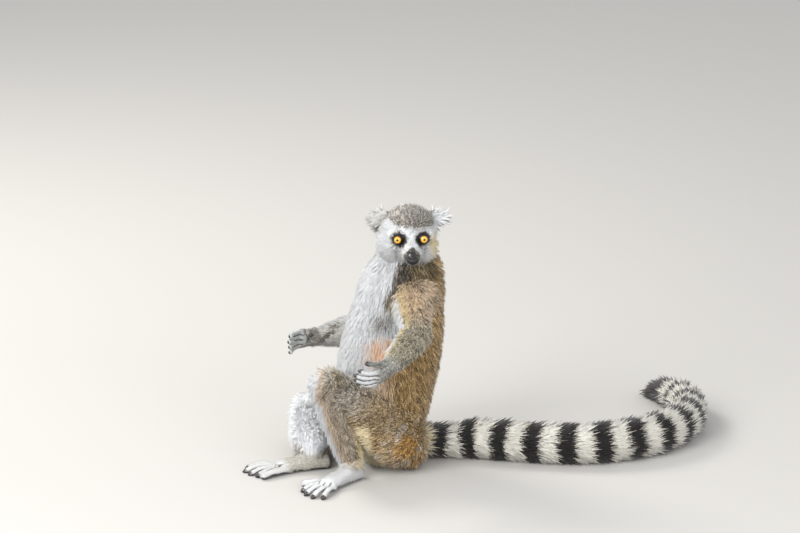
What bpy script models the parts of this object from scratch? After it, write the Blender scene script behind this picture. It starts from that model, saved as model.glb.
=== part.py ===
"""Ring-tailed lemur sitting upright on the floor, life size: a still museum model, shaped out to the tips of its coat.

Row frame: metres, +Z up, origin at the middle of the seat on the floor. The animal faces -Y, its left side is +X,
and its head is turned to its left. Sizes below are in millimetres.

The body is modelled whole, as tapered forms carried along the bones and fused by a voxel remesh. It is cut flat where
it rests on the floor, and then parted at the joints into one named solid for each part of the body.
"""

import math

import bmesh
import bpy
from mathutils import Matrix, Vector

MM = 0.001
GAP = 0.35  # left between two parts that meet
RING = 20  # points round a form
STEPS_BETWEEN = 4  # rings between two stations of a form
CAP_STEPS = 4  # rings that round off each end of a form
VOXEL = 1.6
SMOOTH_ROUNDS = 4
BODY_TRIANGLES = 24000  # before it is parted
ROOM_SIDES = 8
ROOM_MARGIN = 6

# ---- the pose: joints in the row frame ----
HIP = {"left": Vector((38, -19, 46)), "right": Vector((-36, -15, 44))}
KNEE = {"left": Vector((38, -118, 126.5)), "right": Vector((-124, -75, 43.5))}
ANKLE = {"left": Vector((37, -86, 24)), "right": Vector((-24, -111, 21))}
HEEL = {"left": Vector((38, -70, 0)), "right": Vector((-13, -89, 0))}
FOOT_TURN = {"left": 24.5, "right": -9}  # degrees that the toes point to the animal's left of straight ahead
SHOULDER = {"left": Vector((36, -2, 229)), "right": Vector((-34, -2, 226))}
ELBOW = {"left": Vector((92, -20, 195.5)), "right": Vector((-85, 6, 157))}
WRIST = {"left": Vector((129.5, -72, 174.5)), "right": Vector((-91, -72, 151))}
# Where each hand points, and where the back of it faces.
HAND_ALONG = {"left": Vector((0.25, -0.8, -0.41)), "right": Vector((0.11, -0.99, 0.045))}
HAND_BACK = {"left": Vector((0.79, 0.49, -0.22)), "right": Vector((-0.93, -0.14, 0.13))}
FINGER_CURL = {"left": 95, "right": 50}  # degrees

# ---- the head: its own frame has +X to the animal's left, -Y to the nose and +Z up ----
HEAD_CENTRE = Vector((25, 1.5, 309))
HEAD_TURN = 69  # degrees to the left of the trunk
HEAD_DROP = 1.5  # degrees that the nose dips
HEAD_FRAME = (
    Matrix.Translation(HEAD_CENTRE)
    @ Matrix.Rotation(math.radians(HEAD_TURN), 4, "Z")
    @ Matrix.Rotation(math.radians(HEAD_DROP), 4, "X")
)
EYE_CENTRE = Vector((15.9, -20.5, -1.2))  # the left eye; the right one mirrors it
EYE_RADIUS = 7.4
NOSE_ROOT = Vector((0, -53.5, -15))

# ---- stations of the trunk: x, y, z, half width, half depth ----
TRUNK = (
    (0, -2, 4, 27, 27),
    (0, -9, 22, 40, 37),
    (0, -18, 52, 47, 43),
    (0, -20, 86, 53, 53),
    (0, -19, 126, 56, 61.5),
    (0, -12, 161, 55, 61),
    (0, -6, 191, 52, 58),
    (0, -2, 216, 49, 54),
    (1, 3, 240, 46, 50),
    (3, 5, 260, 39, 44),
    (6, 4, 280, 32, 34),
    (10, 3, 297, 29, 31),
)

# ---- the tail: it lies on the floor, runs back and to the left, then turns in a wide curve behind the animal ----
TAIL_LENGTH = 575
TAIL_START = Vector((0, 22))
TAIL_HEADING = -4  # degrees to the animal's left of straight back, at the root
TAIL_TURNS = ((0.14, 44), (0.3, 40), (0.78, -62), (1.0, -96))  # share of the length, and the heading added by then
TAIL_RADII = ((0.0, 20), (0.06, 20), (0.14, 24), (0.5, 25), (0.85, 22), (0.95, 17), (1.0, 9))
TAIL_LENGTHS = 6

# ---- half thickness of each limb from its upper joint to its lower: share, half side, half front ----
THIGH = ((0.0, 30, 36), (0.25, 29, 36), (0.55, 24, 29), (0.85, 20, 22.5), (1.0, 19, 21))
THIGH_SPREAD = ((0.0, 32, 36), (0.25, 29, 34), (0.55, 26, 30), (0.85, 21.5, 24), (1.0, 18.5, 19))
SHANK = ((0.0, 19, 21), (0.3, 17.5, 22), (0.6, 15, 19), (0.85, 12.5, 16), (1.0, 11.5, 14))
SHANK_SPREAD = ((0.0, 18, 18), (0.3, 22, 22), (0.6, 24, 25), (0.85, 22.5, 23.5), (1.0, 16, 16))
UPPER_ARM = ((0.0, 24, 25), (0.35, 22, 23), (0.7, 18, 19), (1.0, 16, 17))
FOREARM = {
    "left": ((0.0, 16, 17), (0.3, 16, 17), (0.65, 14, 14.5), (0.9, 12, 12), (1.0, 10.5, 10.5)),
    "right": ((0.0, 19.5, 21), (0.3, 18.5, 20), (0.65, 15.5, 16), (0.9, 12, 12), (1.0, 10.5, 10.5)),
}

# ---- hand and foot ----
PALM_LENGTH = 25
PALM_HALF_WIDTH = 12.5
PALM_HALF_DEPTH = 7
FINGER_RADIUS = 3.2
# side offset from the middle towards the thumb, length, degrees fanned towards the thumb
FINGERS = {
    "left": ((8.6, 18, 10), (3.0, 25, 3), (-3.0, 26, -3), (-9.0, 21, -9)),
    "right": ((9.6, 24, 2), (3.4, 25, -1), (-3.0, 22, -4), (-9.2, 20, -8)),
}
THUMB = {"left": (11, 22), "right": (11, 19)}
THUMB_CURL = {"left": 44, "right": 90}
THUMB_FAN = {"left": 30, "right": 12}
FOOT_LENGTH = 76  # heel to the roots of the toes
FOOT_HALF_WIDTH = 13.5
FOOT_HALF_HEIGHT = 10
TOE_RADIUS = 3.8
# second toe to fifth: side offset towards the inner side, length, degrees fanned
TOES = {
    "left": ((8, 26, 14), (1, 33, 4), (-6.5, 37, -6), (-13, 32, -17)),
    "right": ((8, 31, 12), (1, 38, 4), (-6.5, 42, -4), (-13, 36, -12)),
}
BIG_TOE = {"left": (9, 33, 34, 22), "right": (9, 41, 22, 17)}

# Most triangles of each part, by a word in its name; the first word found counts.
FACETS = (
    ("tail", 105), ("foot", 620), ("hand", 500), ("shank", 320), ("thigh", 380), ("forearm", 200), ("upper_arm", 250),
    ("ear", 110), ("nose", 44), ("head", 1500), ("neck", 170), ("chest", 480), ("belly", 300), ("pelvis", 480),
)

COLOURS = {
    "grey_fur": ((0.36, 0.34, 0.32), 0.9),
    "brown_fur": ((0.38, 0.31, 0.23), 0.9),
    "white_fur": ((0.78, 0.78, 0.77), 0.9),
    "ringed_fur": ((0.30, 0.29, 0.29), 0.9),
    "black_skin": ((0.03, 0.03, 0.032), 0.45),
    "amber_eye": ((0.80, 0.42, 0.05), 0.08),
}


# ---------------------------------------------------------------- shapes


def blended(values, share):
    """The numbers of a ((share, a, b, ...), ...) table at one share, joined by smooth steps."""
    for low, high in zip(values, values[1:]):
        if share <= high[0]:
            part = (share - low[0]) / (high[0] - low[0])
            part = part * part * (3 - 2 * part)
            return [a + (b - a) * part for a, b in zip(low[1:], high[1:])]
    return list(values[-1][1:])


def spline(stations):
    """Rows of numbers along a Catmull-Rom curve through the stations."""
    rows = []
    for i in range(len(stations) - 1):
        before, start = stations[max(i - 1, 0)], stations[i]
        end, after = stations[i + 1], stations[min(i + 2, len(stations) - 1)]
        for k in range(STEPS_BETWEEN):
            t = k / STEPS_BETWEEN
            rows.append(
                [
                    0.5 * (2 * b + (c - a) * t + (2 * a - 5 * b + 4 * c - d) * t * t + (3 * b - a - 3 * c + d) * t**3)
                    for a, b, c, d in zip(before, start, end, after)
                ]
            )
    rows.append(list(stations[-1]))
    return rows


def rounded_ends(rows):
    """Adds rings beyond both ends, which shrink as a half ball does."""
    for at_start in (True, False):
        end, inner = (rows[0], rows[1]) if at_start else (rows[-1], rows[-2])
        outward = (Vector(end[:3]) - Vector(inner[:3])).normalized()
        reach = min(end[3], end[4])
        for k in range(1, CAP_STEPS + 1):
            turn = math.radians(88) * k / CAP_STEPS
            centre = Vector(end[:3]) + outward * reach * math.sin(turn)
            ring = [*centre, end[3] * math.cos(turn), end[4] * math.cos(turn)]
            rows = [ring, *rows] if at_start else [*rows, ring]
    return rows


def add_form(body, stations, side, frame=None):
    """Adds to the bmesh a closed form: an oval ring at every row of the spline, bridged and capped.

    `side` is the direction of an oval's first half thickness; the second is square to it and to the path.
    """
    rows = rounded_ends(spline(stations))
    centres = [Vector(row[:3]) for row in rows]
    rings = []
    for i, row in enumerate(rows):
        along = (centres[min(i + 1, len(rows) - 1)] - centres[max(i - 1, 0)]).normalized()
        across = (side - along * side.dot(along)).normalized()
        front = along.cross(across)
        ring = []
        for k in range(RING):
            turn = 2 * math.pi * k / RING
            point = centres[i] + across * (row[3] * math.cos(turn)) + front * (row[4] * math.sin(turn))
            ring.append(body.verts.new((frame @ point if frame else point) * MM))
        rings.append(ring)
    faces = [body.faces.new(rings[0]), body.faces.new(rings[-1])]
    for low, high in zip(rings, rings[1:]):
        for k in range(RING):
            nxt = (k + 1) % RING
            faces.append(body.faces.new((low[k], low[nxt], high[nxt], high[k])))
    bmesh.ops.recalc_face_normals(body, faces=faces)


def add_ball(body, centre, radii, frame=None, fineness=28):
    """Adds a ball stretched to the three radii."""
    place = Matrix.Scale(MM, 4) @ (frame or Matrix.Identity(4)) @ Matrix.Translation(centre)
    bmesh.ops.create_uvsphere(
        body, u_segments=fineness, v_segments=fineness // 2, radius=1, matrix=place @ Matrix.Diagonal((*radii, 1))
    )


def along_bone(start, end, thickness):
    """Stations from joint to joint."""
    return [(*start.lerp(end, share), side, front) for share, side, front in thickness]


def add_digit(body, root, along, palm_side, length, radius, curl):
    """Adds a finger or toe: a tube on an arc that bends towards the palm, with a rounded pad at the tip."""
    steps = 4
    point, stations = root.copy(), []
    for k in range(steps + 1):
        thick = radius * (1.12 if k in (0, steps) else 0.96)
        stations.append((*point, thick, thick))
        turn = math.radians(curl) * (k + 0.5) / steps
        point = point + (along * math.cos(turn) + palm_side * math.sin(turn)) * (length / steps)
    add_form(body, stations, along.cross(palm_side))


# ---------------------------------------------------------------- parts of the body


def add_trunk(body):
    add_form(body, TRUNK, Vector((1, 0, 0)))
    add_ball(body, Vector((21, -2, 33)), (31, 24, 33))
    add_ball(body, Vector((-21, -2, 33)), (31, 24, 33))
    add_ball(body, Vector((0, -27, 214)), (32, 28, 44))  # the deep white chest
    for side in ("left", "right"):
        add_ball(body, SHOULDER[side] + Vector((0, 6, -3)), (24, 29, 29))


def add_leg(body, side):
    thigh, shank = (THIGH, SHANK) if side == "left" else (THIGH_SPREAD, SHANK_SPREAD)
    out = Vector((1, 0, 0)) if side == "left" else Vector((0.6, -0.75, 0.3))
    add_form(body, along_bone(HIP[side], KNEE[side], thigh), out)
    add_form(body, along_bone(KNEE[side], ANKLE[side], shank), out)


def foot_directions(side):
    """Towards the toes, and towards the big toe."""
    turn = math.radians(FOOT_TURN[side])
    ahead = Vector((math.sin(turn), -math.cos(turn), 0))
    inner = Vector((-math.cos(turn), -math.sin(turn), 0)) * (1 if side == "left" else -1)
    return ahead, inner


def add_foot(body, side):
    ahead, inner = foot_directions(side)
    heel = HEEL[side]
    low = FOOT_HALF_HEIGHT - 1.2
    sole = (
        (*(heel + ahead * 9 + Vector((0, 0, low))), 9.5, 10.5),
        (*(heel + ahead * 26 + Vector((0, 0, low + 2))), 10.5, 12),
        (*(heel + ahead * 46 + Vector((0, 0, low))), 11.5, 10),
        (*(heel + ahead * (FOOT_LENGTH - 5) + Vector((0, 0, low - 1.5))), FOOT_HALF_WIDTH + 1, 8.2),
    )
    add_form(body, sole, inner)
    ankle = ANKLE[side]
    add_form(body, [(*ankle, 11, 12.5), (*(heel + ahead * 24 + Vector((0, 0, 12))), 10, 12)], inner)
    down = Vector((0, 0, -1))
    for offset, length, fan in TOES[side]:
        turn = math.radians(fan)
        root = heel + ahead * (FOOT_LENGTH - 6) + inner * offset + Vector((0, 0, 5.5))
        way = (ahead * math.cos(turn) + inner * math.sin(turn) + Vector((0, 0, 0.3))).normalized()
        add_digit(body, root, way, down, length + 6, TOE_RADIUS, 42)
    offset, length, fan, behind = BIG_TOE[side]
    turn = math.radians(fan)
    root = heel + ahead * (FOOT_LENGTH - behind) + inner * offset + Vector((0, 0, 6))
    way = (ahead * math.cos(turn) + inner * math.sin(turn) + Vector((0, 0, 0.1))).normalized()
    add_digit(body, root, way, down, length, TOE_RADIUS + 1.3, 16)


def hand_directions(side):
    """Towards the fingers, out of the back of the hand, and towards the thumb."""
    along = HAND_ALONG[side].normalized()
    back = (HAND_BACK[side] - along * HAND_BACK[side].dot(along)).normalized()
    thumb = along.cross(back) if side == "left" else back.cross(along)
    return along, back, thumb


def add_arm(body, side):
    add_form(body, along_bone(SHOULDER[side], ELBOW[side], UPPER_ARM), Vector((0, 1, 0)))
    add_form(body, along_bone(ELBOW[side], WRIST[side], FOREARM[side]), Vector((0, 0, 1)))


def add_hand(body, side):
    along, back, thumb = hand_directions(side)
    wrist = WRIST[side]
    palm = (
        (*wrist, 9.5, 8.5),
        (*(wrist + along * 11), 11, 8),
        (*(wrist + along * PALM_LENGTH), PALM_HALF_WIDTH, PALM_HALF_DEPTH - 0.5),
    )
    add_form(body, palm, thumb)
    curl = FINGER_CURL[side]
    for offset, length, fan in FINGERS[side]:
        turn = math.radians(fan)
        root = wrist + along * (PALM_LENGTH - 1) + thumb * offset
        way = along * math.cos(turn) + thumb * math.sin(turn)
        add_digit(body, root, way, -back, length + 6, FINGER_RADIUS, curl)
    offset, length = THUMB[side]
    turn = math.radians(THUMB_FAN[side])
    root = wrist + along * 9 + thumb * (offset - 3) - back * 2
    way = along * math.cos(turn) + thumb * math.sin(turn)
    add_digit(body, root, way, -back, length + 4, FINGER_RADIUS + 0.4, THUMB_CURL[side])


def tail_points():
    """Centre line of the tail on the floor as (share, x, y, radius), from its heading at each step."""
    steps = 60
    step = TAIL_LENGTH / steps
    headings = ((0.0, 0), *TAIL_TURNS)
    x, y = TAIL_START
    rows = []
    for k in range(steps + 1):
        share = k / steps
        rows.append((share, x, y, blended(TAIL_RADII, share)[0]))
        turn = math.radians(TAIL_HEADING + blended(headings, min(share + 0.5 / steps, 1))[0])
        x += step * math.sin(turn)
        y += step * math.cos(turn)
    return rows


def tail_centre(row):
    """A row's centre in space: the radius above the floor, less the small flat that the tail lies on."""
    share, x, y, radius = row
    root_rise = 8 * max(0.0, 1 - share / 0.08)
    return Vector((x, y, radius - 1.2 + root_rise))


def add_tail(body):
    rows = tail_points()[::3]
    add_form(body, [(*tail_centre(row), row[3], row[3]) for row in rows], Vector((0, 0, 1)))


def add_head(body):
    def ball(centre, radii):
        add_ball(body, Vector(centre), radii, HEAD_FRAME)

    across = Vector((1, 0, 0))
    ball((0, 5, 5), (32.5, 37, 28.5))  # crown
    ball((0, -4, 8), (26, 27, 23))  # brow
    ball((-2, 22, -12), (31, 30, 34))  # nape
    muzzle = (
        (0, -8, -12, 22, 19),
        (0, -24, -13, 15.5, 14.5),
        (0, -38, -15.4, 11.6, 11.4),
        (0, -49, -17.8, 10.0, 9.2),
        (0, -54, -18.8, 7.8, 7.2),
    )
    add_form(body, muzzle, across, HEAD_FRAME)
    for side in (1, -1):
        # The turned neck bunches the cheek's fur on the animal's right, and draws it flat on the left.
        cheek_out, cheek_width, cheek_up = (14.5, 16, -12) if side > 0 else (19, 19.5, -9)
        ball((side * cheek_out, 1, cheek_up), (cheek_width, 23, 20.5))
        ball((side * 19, -13.5, 0), (11, 9.5, 12))  # round the eye
        # The left ear lies flatter, so less of its height shows.
        low, high = ((9.8, 7, 4.4), (14.7, 15, 14.7)) if side > 0 else ((12, 10.5, 6), (13.5, 13, 13))
        ear = (
            (side * 22, 10, 14, 10, 9),
            (side * 31, 12, high[0], low[0], 6.5),
            (side * 40, 15, high[1], low[1], 5),
            (side * 46.5, 17.5, high[2], low[2], 3.6),
            (side * 51, 19, high[2] - 0.6, 2.4, 2.2),
        )
        add_form(body, ear, Vector((0.1 * side, 0.15, 1)), HEAD_FRAME)
    throat = ((0, -4, -18, 17, 17), (0, 12, -32, 25, 24), (-4, 22, -52, 31, 30))
    add_form(body, throat, across, HEAD_FRAME)


# ---------------------------------------------------------------- fusing and parting


def mesh_object(name, mesh):
    obj = bpy.data.objects.new(name, mesh)
    bpy.context.scene.collection.objects.link(obj)
    return obj


def evaluated(obj):
    """A new mesh: the object with its modifiers applied."""
    bpy.context.view_layer.update()
    return bpy.data.meshes.new_from_object(obj.evaluated_get(bpy.context.evaluated_depsgraph_get()))


def fused_body():
    """The whole animal as one closed surface."""
    body = bmesh.new()
    add_trunk(body)
    for side in ("left", "right"):
        add_leg(body, side)
        add_foot(body, side)
        add_arm(body, side)
        add_hand(body, side)
    add_tail(body)
    add_head(body)
    mesh = bpy.data.meshes.new("forms")
    body.to_mesh(mesh)
    body.free()
    forms = mesh_object("forms", mesh)
    remesh = forms.modifiers.new("fuse", "REMESH")
    remesh.mode = "VOXEL"
    remesh.voxel_size = VOXEL * MM
    smooth = forms.modifiers.new("soften", "SMOOTH")
    smooth.factor = 0.5
    smooth.iterations = SMOOTH_ROUNDS
    whole = mesh_object("whole", evaluated(forms))
    bpy.data.objects.remove(forms)
    thin_out(whole, BODY_TRIANGLES)
    return whole


def thin_out(obj, most):
    """Leaves the object with about this many triangles."""
    obj.data.calc_loop_triangles()
    count = len(obj.data.loop_triangles)
    if count > most:
        facets = obj.modifiers.new("facets", "DECIMATE")
        facets.ratio = most / count
        obj.data = evaluated(obj)
        obj.modifiers.clear()


def block(start, axis, length, side, half_side, half_front, grow=0.0):
    """A box that begins at a plane through `start` and runs on along `axis`: the room of one part of the body."""
    axis = axis.normalized()
    across = (side - axis * side.dot(axis)).normalized()
    front = axis.cross(across)
    corners = []
    for reach in (-grow, length + grow):
        for a, b in ((-1, -1), (1, -1), (1, 1), (-1, 1)):
            corner = start + axis * reach + across * (a * (half_side + grow)) + front * (b * (half_front + grow))
            corners.append(corner * MM)
    faces = ((0, 3, 2, 1), (4, 5, 6, 7), (0, 1, 5, 4), (1, 2, 6, 5), (2, 3, 7, 6), (3, 0, 4, 7))
    mesh = bpy.data.meshes.new("room")
    mesh.from_pydata(corners, [], faces)
    return mesh


def limb_room(start, end, thickness, cut_share, grow=0.0):
    """A plain tapered tube round a limb, from its cut to past its lower joint: the room of a thigh or an upper arm."""
    along = (end - start).normalized()
    across = along.orthogonal().normalized()
    front = along.cross(across)
    near = max(blended(thickness, cut_share)) + ROOM_MARGIN
    far = max(thickness[-1][1:]) + ROOM_MARGIN
    length = (end - start).length
    corners = []
    for reach, radius in ((length * cut_share - grow, near + grow), (length + far + grow, far + grow)):
        for k in range(ROOM_SIDES):
            turn = 2 * math.pi * k / ROOM_SIDES
            corner = start + along * reach + (across * math.cos(turn) + front * math.sin(turn)) * radius
            corners.append(corner * MM)
    faces = [tuple(range(ROOM_SIDES))[::-1], tuple(range(ROOM_SIDES, 2 * ROOM_SIDES))]
    for k in range(ROOM_SIDES):
        nxt = (k + 1) % ROOM_SIDES
        faces.append((k, nxt, ROOM_SIDES + nxt, ROOM_SIDES + k))
    mesh = bpy.data.meshes.new("room")
    mesh.from_pydata(corners, [], faces)
    return mesh


def boolean(obj, operation, tool_mesh):
    """The object's mesh after one Boolean with the tool."""
    tool = mesh_object("tool", tool_mesh)
    tool.hide_render = True
    tool.display_type = "WIRE"
    cut = obj.modifiers.new("cut", "BOOLEAN")
    cut.operation = operation
    cut.object = tool
    result = evaluated(obj)
    obj.modifiers.remove(cut)
    bpy.data.objects.remove(tool)
    return result


def largest_piece(mesh):
    """Drops crumbs that a cut can leave beside the part."""
    body = bmesh.new()
    body.from_mesh(mesh)
    unseen, pieces = set(body.verts), []
    while unseen:
        found, edge = set(), [unseen.pop()]
        while edge:
            vert = edge.pop()
            found.add(vert)
            near = {e.other_vert(vert) for e in vert.link_edges} & unseen
            unseen -= near
            edge.extend(near)
        pieces.append(found)
    keep = max(pieces, key=len)
    bmesh.ops.delete(body, geom=[v for v in body.verts if v not in keep], context="VERTS")
    body.to_mesh(mesh)
    body.free()
    return mesh


def part_off(rest, name, room, grown_room):
    """Takes what lies in the room off `rest` as a new named object, and leaves the gap between the two."""
    part = mesh_object(name, largest_piece(boolean(rest, "INTERSECT", room)))
    rest.data = largest_piece(boolean(rest, "DIFFERENCE", grown_room))
    return part


def part_off_block(rest, name, *sizes):
    return part_off(rest, name, block(*sizes), block(*sizes, grow=GAP))


def part_off_limb(rest, name, *limb):
    return part_off(rest, name, limb_room(*limb), limb_room(*limb, grow=GAP))


def part_off_tail(rest):
    """The tail in lengths, taken from the tip forwards."""
    rows = tail_points()
    parts = []
    for k in range(TAIL_LENGTHS - 1, -1, -1):
        at = 2 + round(k * (len(rows) - 3) / TAIL_LENGTHS)
        here, ahead = tail_centre(rows[at]), tail_centre(rows[at + 1])
        level = Vector((ahead.x - here.x, ahead.y - here.y, 0))
        name = f"tail_{k + 1}"
        parts.append(part_off_block(rest, name, here, level, 115, Vector((0, 0, 1)), 45, 62))
    return parts


def part_off_foot(rest, side):
    ahead, inner = foot_directions(side)
    middle = HEEL[side] + ahead * 55 + Vector((0, 0, ANKLE[side].z))
    return part_off_block(rest, f"{side}_foot", middle, Vector((0, 0, -1)), 40, ahead, 64, 34)


def part_off_hand(rest, side):
    along, back, _ = hand_directions(side)
    return part_off_block(rest, f"{side}_hand", WRIST[side] + along * 3, along, 85, back, 50, 34)


def part_off_leg(rest, side):
    thigh, shank = (THIGH, SHANK) if side == "left" else (THIGH_SPREAD, SHANK_SPREAD)
    lower = part_off_limb(rest, f"{side}_shank", KNEE[side], ANKLE[side], shank, 0.2)
    upper = part_off_limb(rest, f"{side}_thigh", HIP[side], KNEE[side], thigh, 0.3)
    return [lower, upper]


def part_off_arm(rest, side):
    lower = part_off_limb(rest, f"{side}_forearm", ELBOW[side], WRIST[side], FOREARM[side], 0.12)
    upper = part_off_limb(rest, f"{side}_upper_arm", SHOULDER[side], ELBOW[side], UPPER_ARM, 0.35)
    return [lower, upper]


def part_off_ear(rest, side):
    sign = 1 if side == "left" else -1
    root = HEAD_FRAME @ Vector((sign * 31.5, 12, 14))
    out = HEAD_FRAME.to_3x3() @ Vector((sign, 0.25, -0.05))
    return part_off_block(rest, f"{side}_ear", root, out, 30, Vector((0, 0, 1)), 17, 15)


def swollen(mesh, by):
    """A copy of the mesh pushed outwards along its normals."""
    copy = mesh.copy()
    normals = [vert.normal.copy() for vert in mesh.vertices]
    for vert, normal in zip(copy.vertices, normals):
        vert.co += normal * by * MM
    return copy


def keep_clear(obj, neighbours):
    """Trims the object wherever thinning out has closed its gap to a neighbour."""
    for neighbour in neighbours:
        obj.data = largest_piece(boolean(obj, "DIFFERENCE", swollen(neighbour.data, GAP / 2)))


def cut_at_floor(obj):
    """Takes off what dips below the floor, which leaves the small true flats that the animal rests on."""
    if min(vert.co.z for vert in obj.data.vertices) < 0:
        floor = block(Vector((0, 0, 0)), Vector((0, 0, -1)), 80, Vector((1, 0, 0)), 900, 900)
        obj.data = largest_piece(boolean(obj, "DIFFERENCE", floor))


def add_eye(head, side):
    """A ball in a socket that opens forwards through the lids."""
    sign = 1 if side == "left" else -1
    centre = Vector((EYE_CENTRE.x * sign, EYE_CENTRE.y, EYE_CENTRE.z))
    ahead = Vector((0.28 * sign, -1, 0.02)).normalized()
    socket = bmesh.new()
    add_ball(socket, centre, (EYE_RADIUS + 3 * GAP,) * 3, HEAD_FRAME, 12)
    hollow = bpy.data.meshes.new("hollow")
    socket.to_mesh(hollow)
    socket.free()
    head.data = largest_piece(boolean(head, "DIFFERENCE", hollow))
    opening = bmesh.new()
    lids = [(*(centre + ahead * reach), width, width) for reach, width in ((4.5, 4.6), (9, 5.4), (16, 8))]
    add_form(opening, lids, Vector((1, 0, 0)), HEAD_FRAME)
    hollow = bpy.data.meshes.new("hollow")
    opening.to_mesh(hollow)
    opening.free()
    head.data = largest_piece(boolean(head, "DIFFERENCE", hollow))
    ball = bmesh.new()
    place = Matrix.Scale(MM, 4) @ HEAD_FRAME @ Matrix.Translation(centre)
    bmesh.ops.create_uvsphere(ball, u_segments=14, v_segments=8, radius=EYE_RADIUS, matrix=place)
    mesh = bpy.data.meshes.new(f"{side}_eye")
    ball.to_mesh(mesh)
    ball.free()
    return mesh_object(f"{side}_eye", mesh)


def paint(obj, name):
    """Gives the object a material of its own."""
    colour, roughness = COLOURS[name]
    material = bpy.data.materials.new(f"{obj.name}_{name}")
    material.use_nodes = True
    shader = material.node_tree.nodes["Principled BSDF"]
    shader.inputs["Base Color"].default_value = (*colour, 1)
    shader.inputs["Roughness"].default_value = roughness
    obj.data.materials.clear()
    obj.data.materials.append(material)


def paint_all():
    for obj in bpy.context.scene.objects:
        if "eye" in obj.name:
            paint(obj, "amber_eye")
        elif obj.name == "nose":
            paint(obj, "black_skin")
        elif obj.name.startswith("tail"):
            paint(obj, "ringed_fur")
        elif obj.name in ("chest", "belly", "right_shank", "head", "left_ear", "right_ear"):
            paint(obj, "white_fur")
        elif "thigh" in obj.name or obj.name == "pelvis":
            paint(obj, "brown_fur")
        else:
            paint(obj, "grey_fur")
        for face in obj.data.polygons:
            face.use_smooth = "eye" in obj.name


def main():
    for obj in list(bpy.data.objects):
        bpy.data.objects.remove(obj)
    rest = fused_body()
    part_off_tail(rest)
    for side in ("left", "right"):
        part_off_foot(rest, side)
        part_off_hand(rest, side)
        part_off_leg(rest, side)
        part_off_arm(rest, side)
        part_off_ear(rest, side)
    up, across = Vector((0, 0, 1)), Vector((1, 0, 0))
    nose_frame = HEAD_FRAME.to_3x3()
    nose_root = HEAD_FRAME @ NOSE_ROOT
    part_off_block(rest, "nose", nose_root, nose_frame @ Vector((0, -1, 0.1)), 14, nose_frame @ across, 9, 6)
    for name, height in (("head", 276), ("neck", 250), ("chest", 168), ("belly", 84)):
        part = part_off_block(rest, name, Vector((0, 0, height)), up, 120, across, 150, 150)
        if name == "head":
            head = part
    rest.name = "pelvis"
    for obj in bpy.context.scene.objects:
        thin_out(obj, next(most for word, most in FACETS if word in obj.name))
    named = bpy.data.objects
    for side in ("left", "right"):
        thigh, shank = named[f"{side}_thigh"], named[f"{side}_shank"]
        upper_arm, forearm = named[f"{side}_upper_arm"], named[f"{side}_forearm"]
        keep_clear(thigh, [shank])
        keep_clear(upper_arm, [forearm])
        for trunk in ("pelvis", "belly", "chest"):
            keep_clear(named[trunk], [thigh, upper_arm])
    for obj in bpy.context.scene.objects:
        cut_at_floor(obj)
    for side in ("left", "right"):
        add_eye(head, side)
    paint_all()


main()
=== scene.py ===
"""Ring-tailed lemur sitting upright: the skin, coat, eyes and nails of a life-size museum model.

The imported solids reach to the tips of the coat. One fused skin lies inside them by the coat's depth, and carries the
markings. Locks of real mesh follow the lie of the hair over it and carry the same markings. Sizes are in
millimetres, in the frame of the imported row: +Z up, the animal faces -Y, its left is +X.
"""

import math

import bpy
import numpy as np
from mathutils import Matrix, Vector


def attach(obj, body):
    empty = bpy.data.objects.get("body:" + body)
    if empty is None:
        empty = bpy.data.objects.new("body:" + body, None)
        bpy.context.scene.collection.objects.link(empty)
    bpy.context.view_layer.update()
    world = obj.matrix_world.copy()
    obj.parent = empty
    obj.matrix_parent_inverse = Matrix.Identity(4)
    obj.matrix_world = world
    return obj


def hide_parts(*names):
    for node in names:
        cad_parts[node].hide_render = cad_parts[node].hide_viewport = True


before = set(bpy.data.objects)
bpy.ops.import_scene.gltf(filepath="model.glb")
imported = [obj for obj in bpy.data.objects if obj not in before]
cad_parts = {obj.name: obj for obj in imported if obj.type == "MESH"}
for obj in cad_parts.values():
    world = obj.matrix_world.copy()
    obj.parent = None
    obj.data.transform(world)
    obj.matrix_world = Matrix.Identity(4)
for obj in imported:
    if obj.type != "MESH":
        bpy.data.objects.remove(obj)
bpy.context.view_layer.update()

MM = 0.001
SIDES = ("left", "right")
rng = np.random.default_rng(7)


def vec(x, y, z):
    """A point or a way as an array."""
    return np.array((x, y, z), float)


def unit(v):
    """The same way with length 1: divided by its length."""
    return v / np.maximum(np.linalg.norm(v, axis=-1, keepdims=True), 1e-9)


def distance(points, centre):
    """Length of the way from the centre to each point."""
    return np.linalg.norm(points - centre, axis=1)


def smooth(low, high, value):
    """0 below low, 1 above high, and a smooth step between."""
    part = np.clip((value - low) / (high - low), 0, 1)
    return part * part * (3 - 2 * part)


# ------------------------------------------------------------------ pose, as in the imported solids

HIP = {"left": vec(38, -19, 46), "right": vec(-36, -15, 44)}
KNEE = {"left": vec(38, -118, 126.5), "right": vec(-124, -75, 43.5)}
ANKLE = {"left": vec(37, -86, 24), "right": vec(-24, -111, 21)}
HEEL = {"left": vec(38, -70, 0), "right": vec(-13, -89, 0)}
FOOT_TURN = {"left": 24.5, "right": -9}
SHOULDER = {"left": vec(36, -2, 229), "right": vec(-34, -2, 226)}
ELBOW = {"left": vec(92, -20, 195.5), "right": vec(-85, 6, 157)}
WRIST = {"left": vec(129.5, -72, 174.5), "right": vec(-91, -72, 151)}
HAND_ALONG = {"left": vec(0.25, -0.8, -0.41), "right": vec(0.11, -0.99, 0.045)}
HAND_BACK = {"left": vec(0.79, 0.49, -0.22), "right": vec(-0.93, -0.14, 0.13)}
FINGER_CURL = {"left": 95, "right": 50}
THUMB_CURL = {"left": 44, "right": 90}
THUMB_FAN = {"left": 30, "right": 12}
THUMB_LENGTH = {"left": 20, "right": 17}
FINGER_RADIUS, TOE_RADIUS = 2.8, 3.3
FOOT_LENGTH = 76

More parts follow.
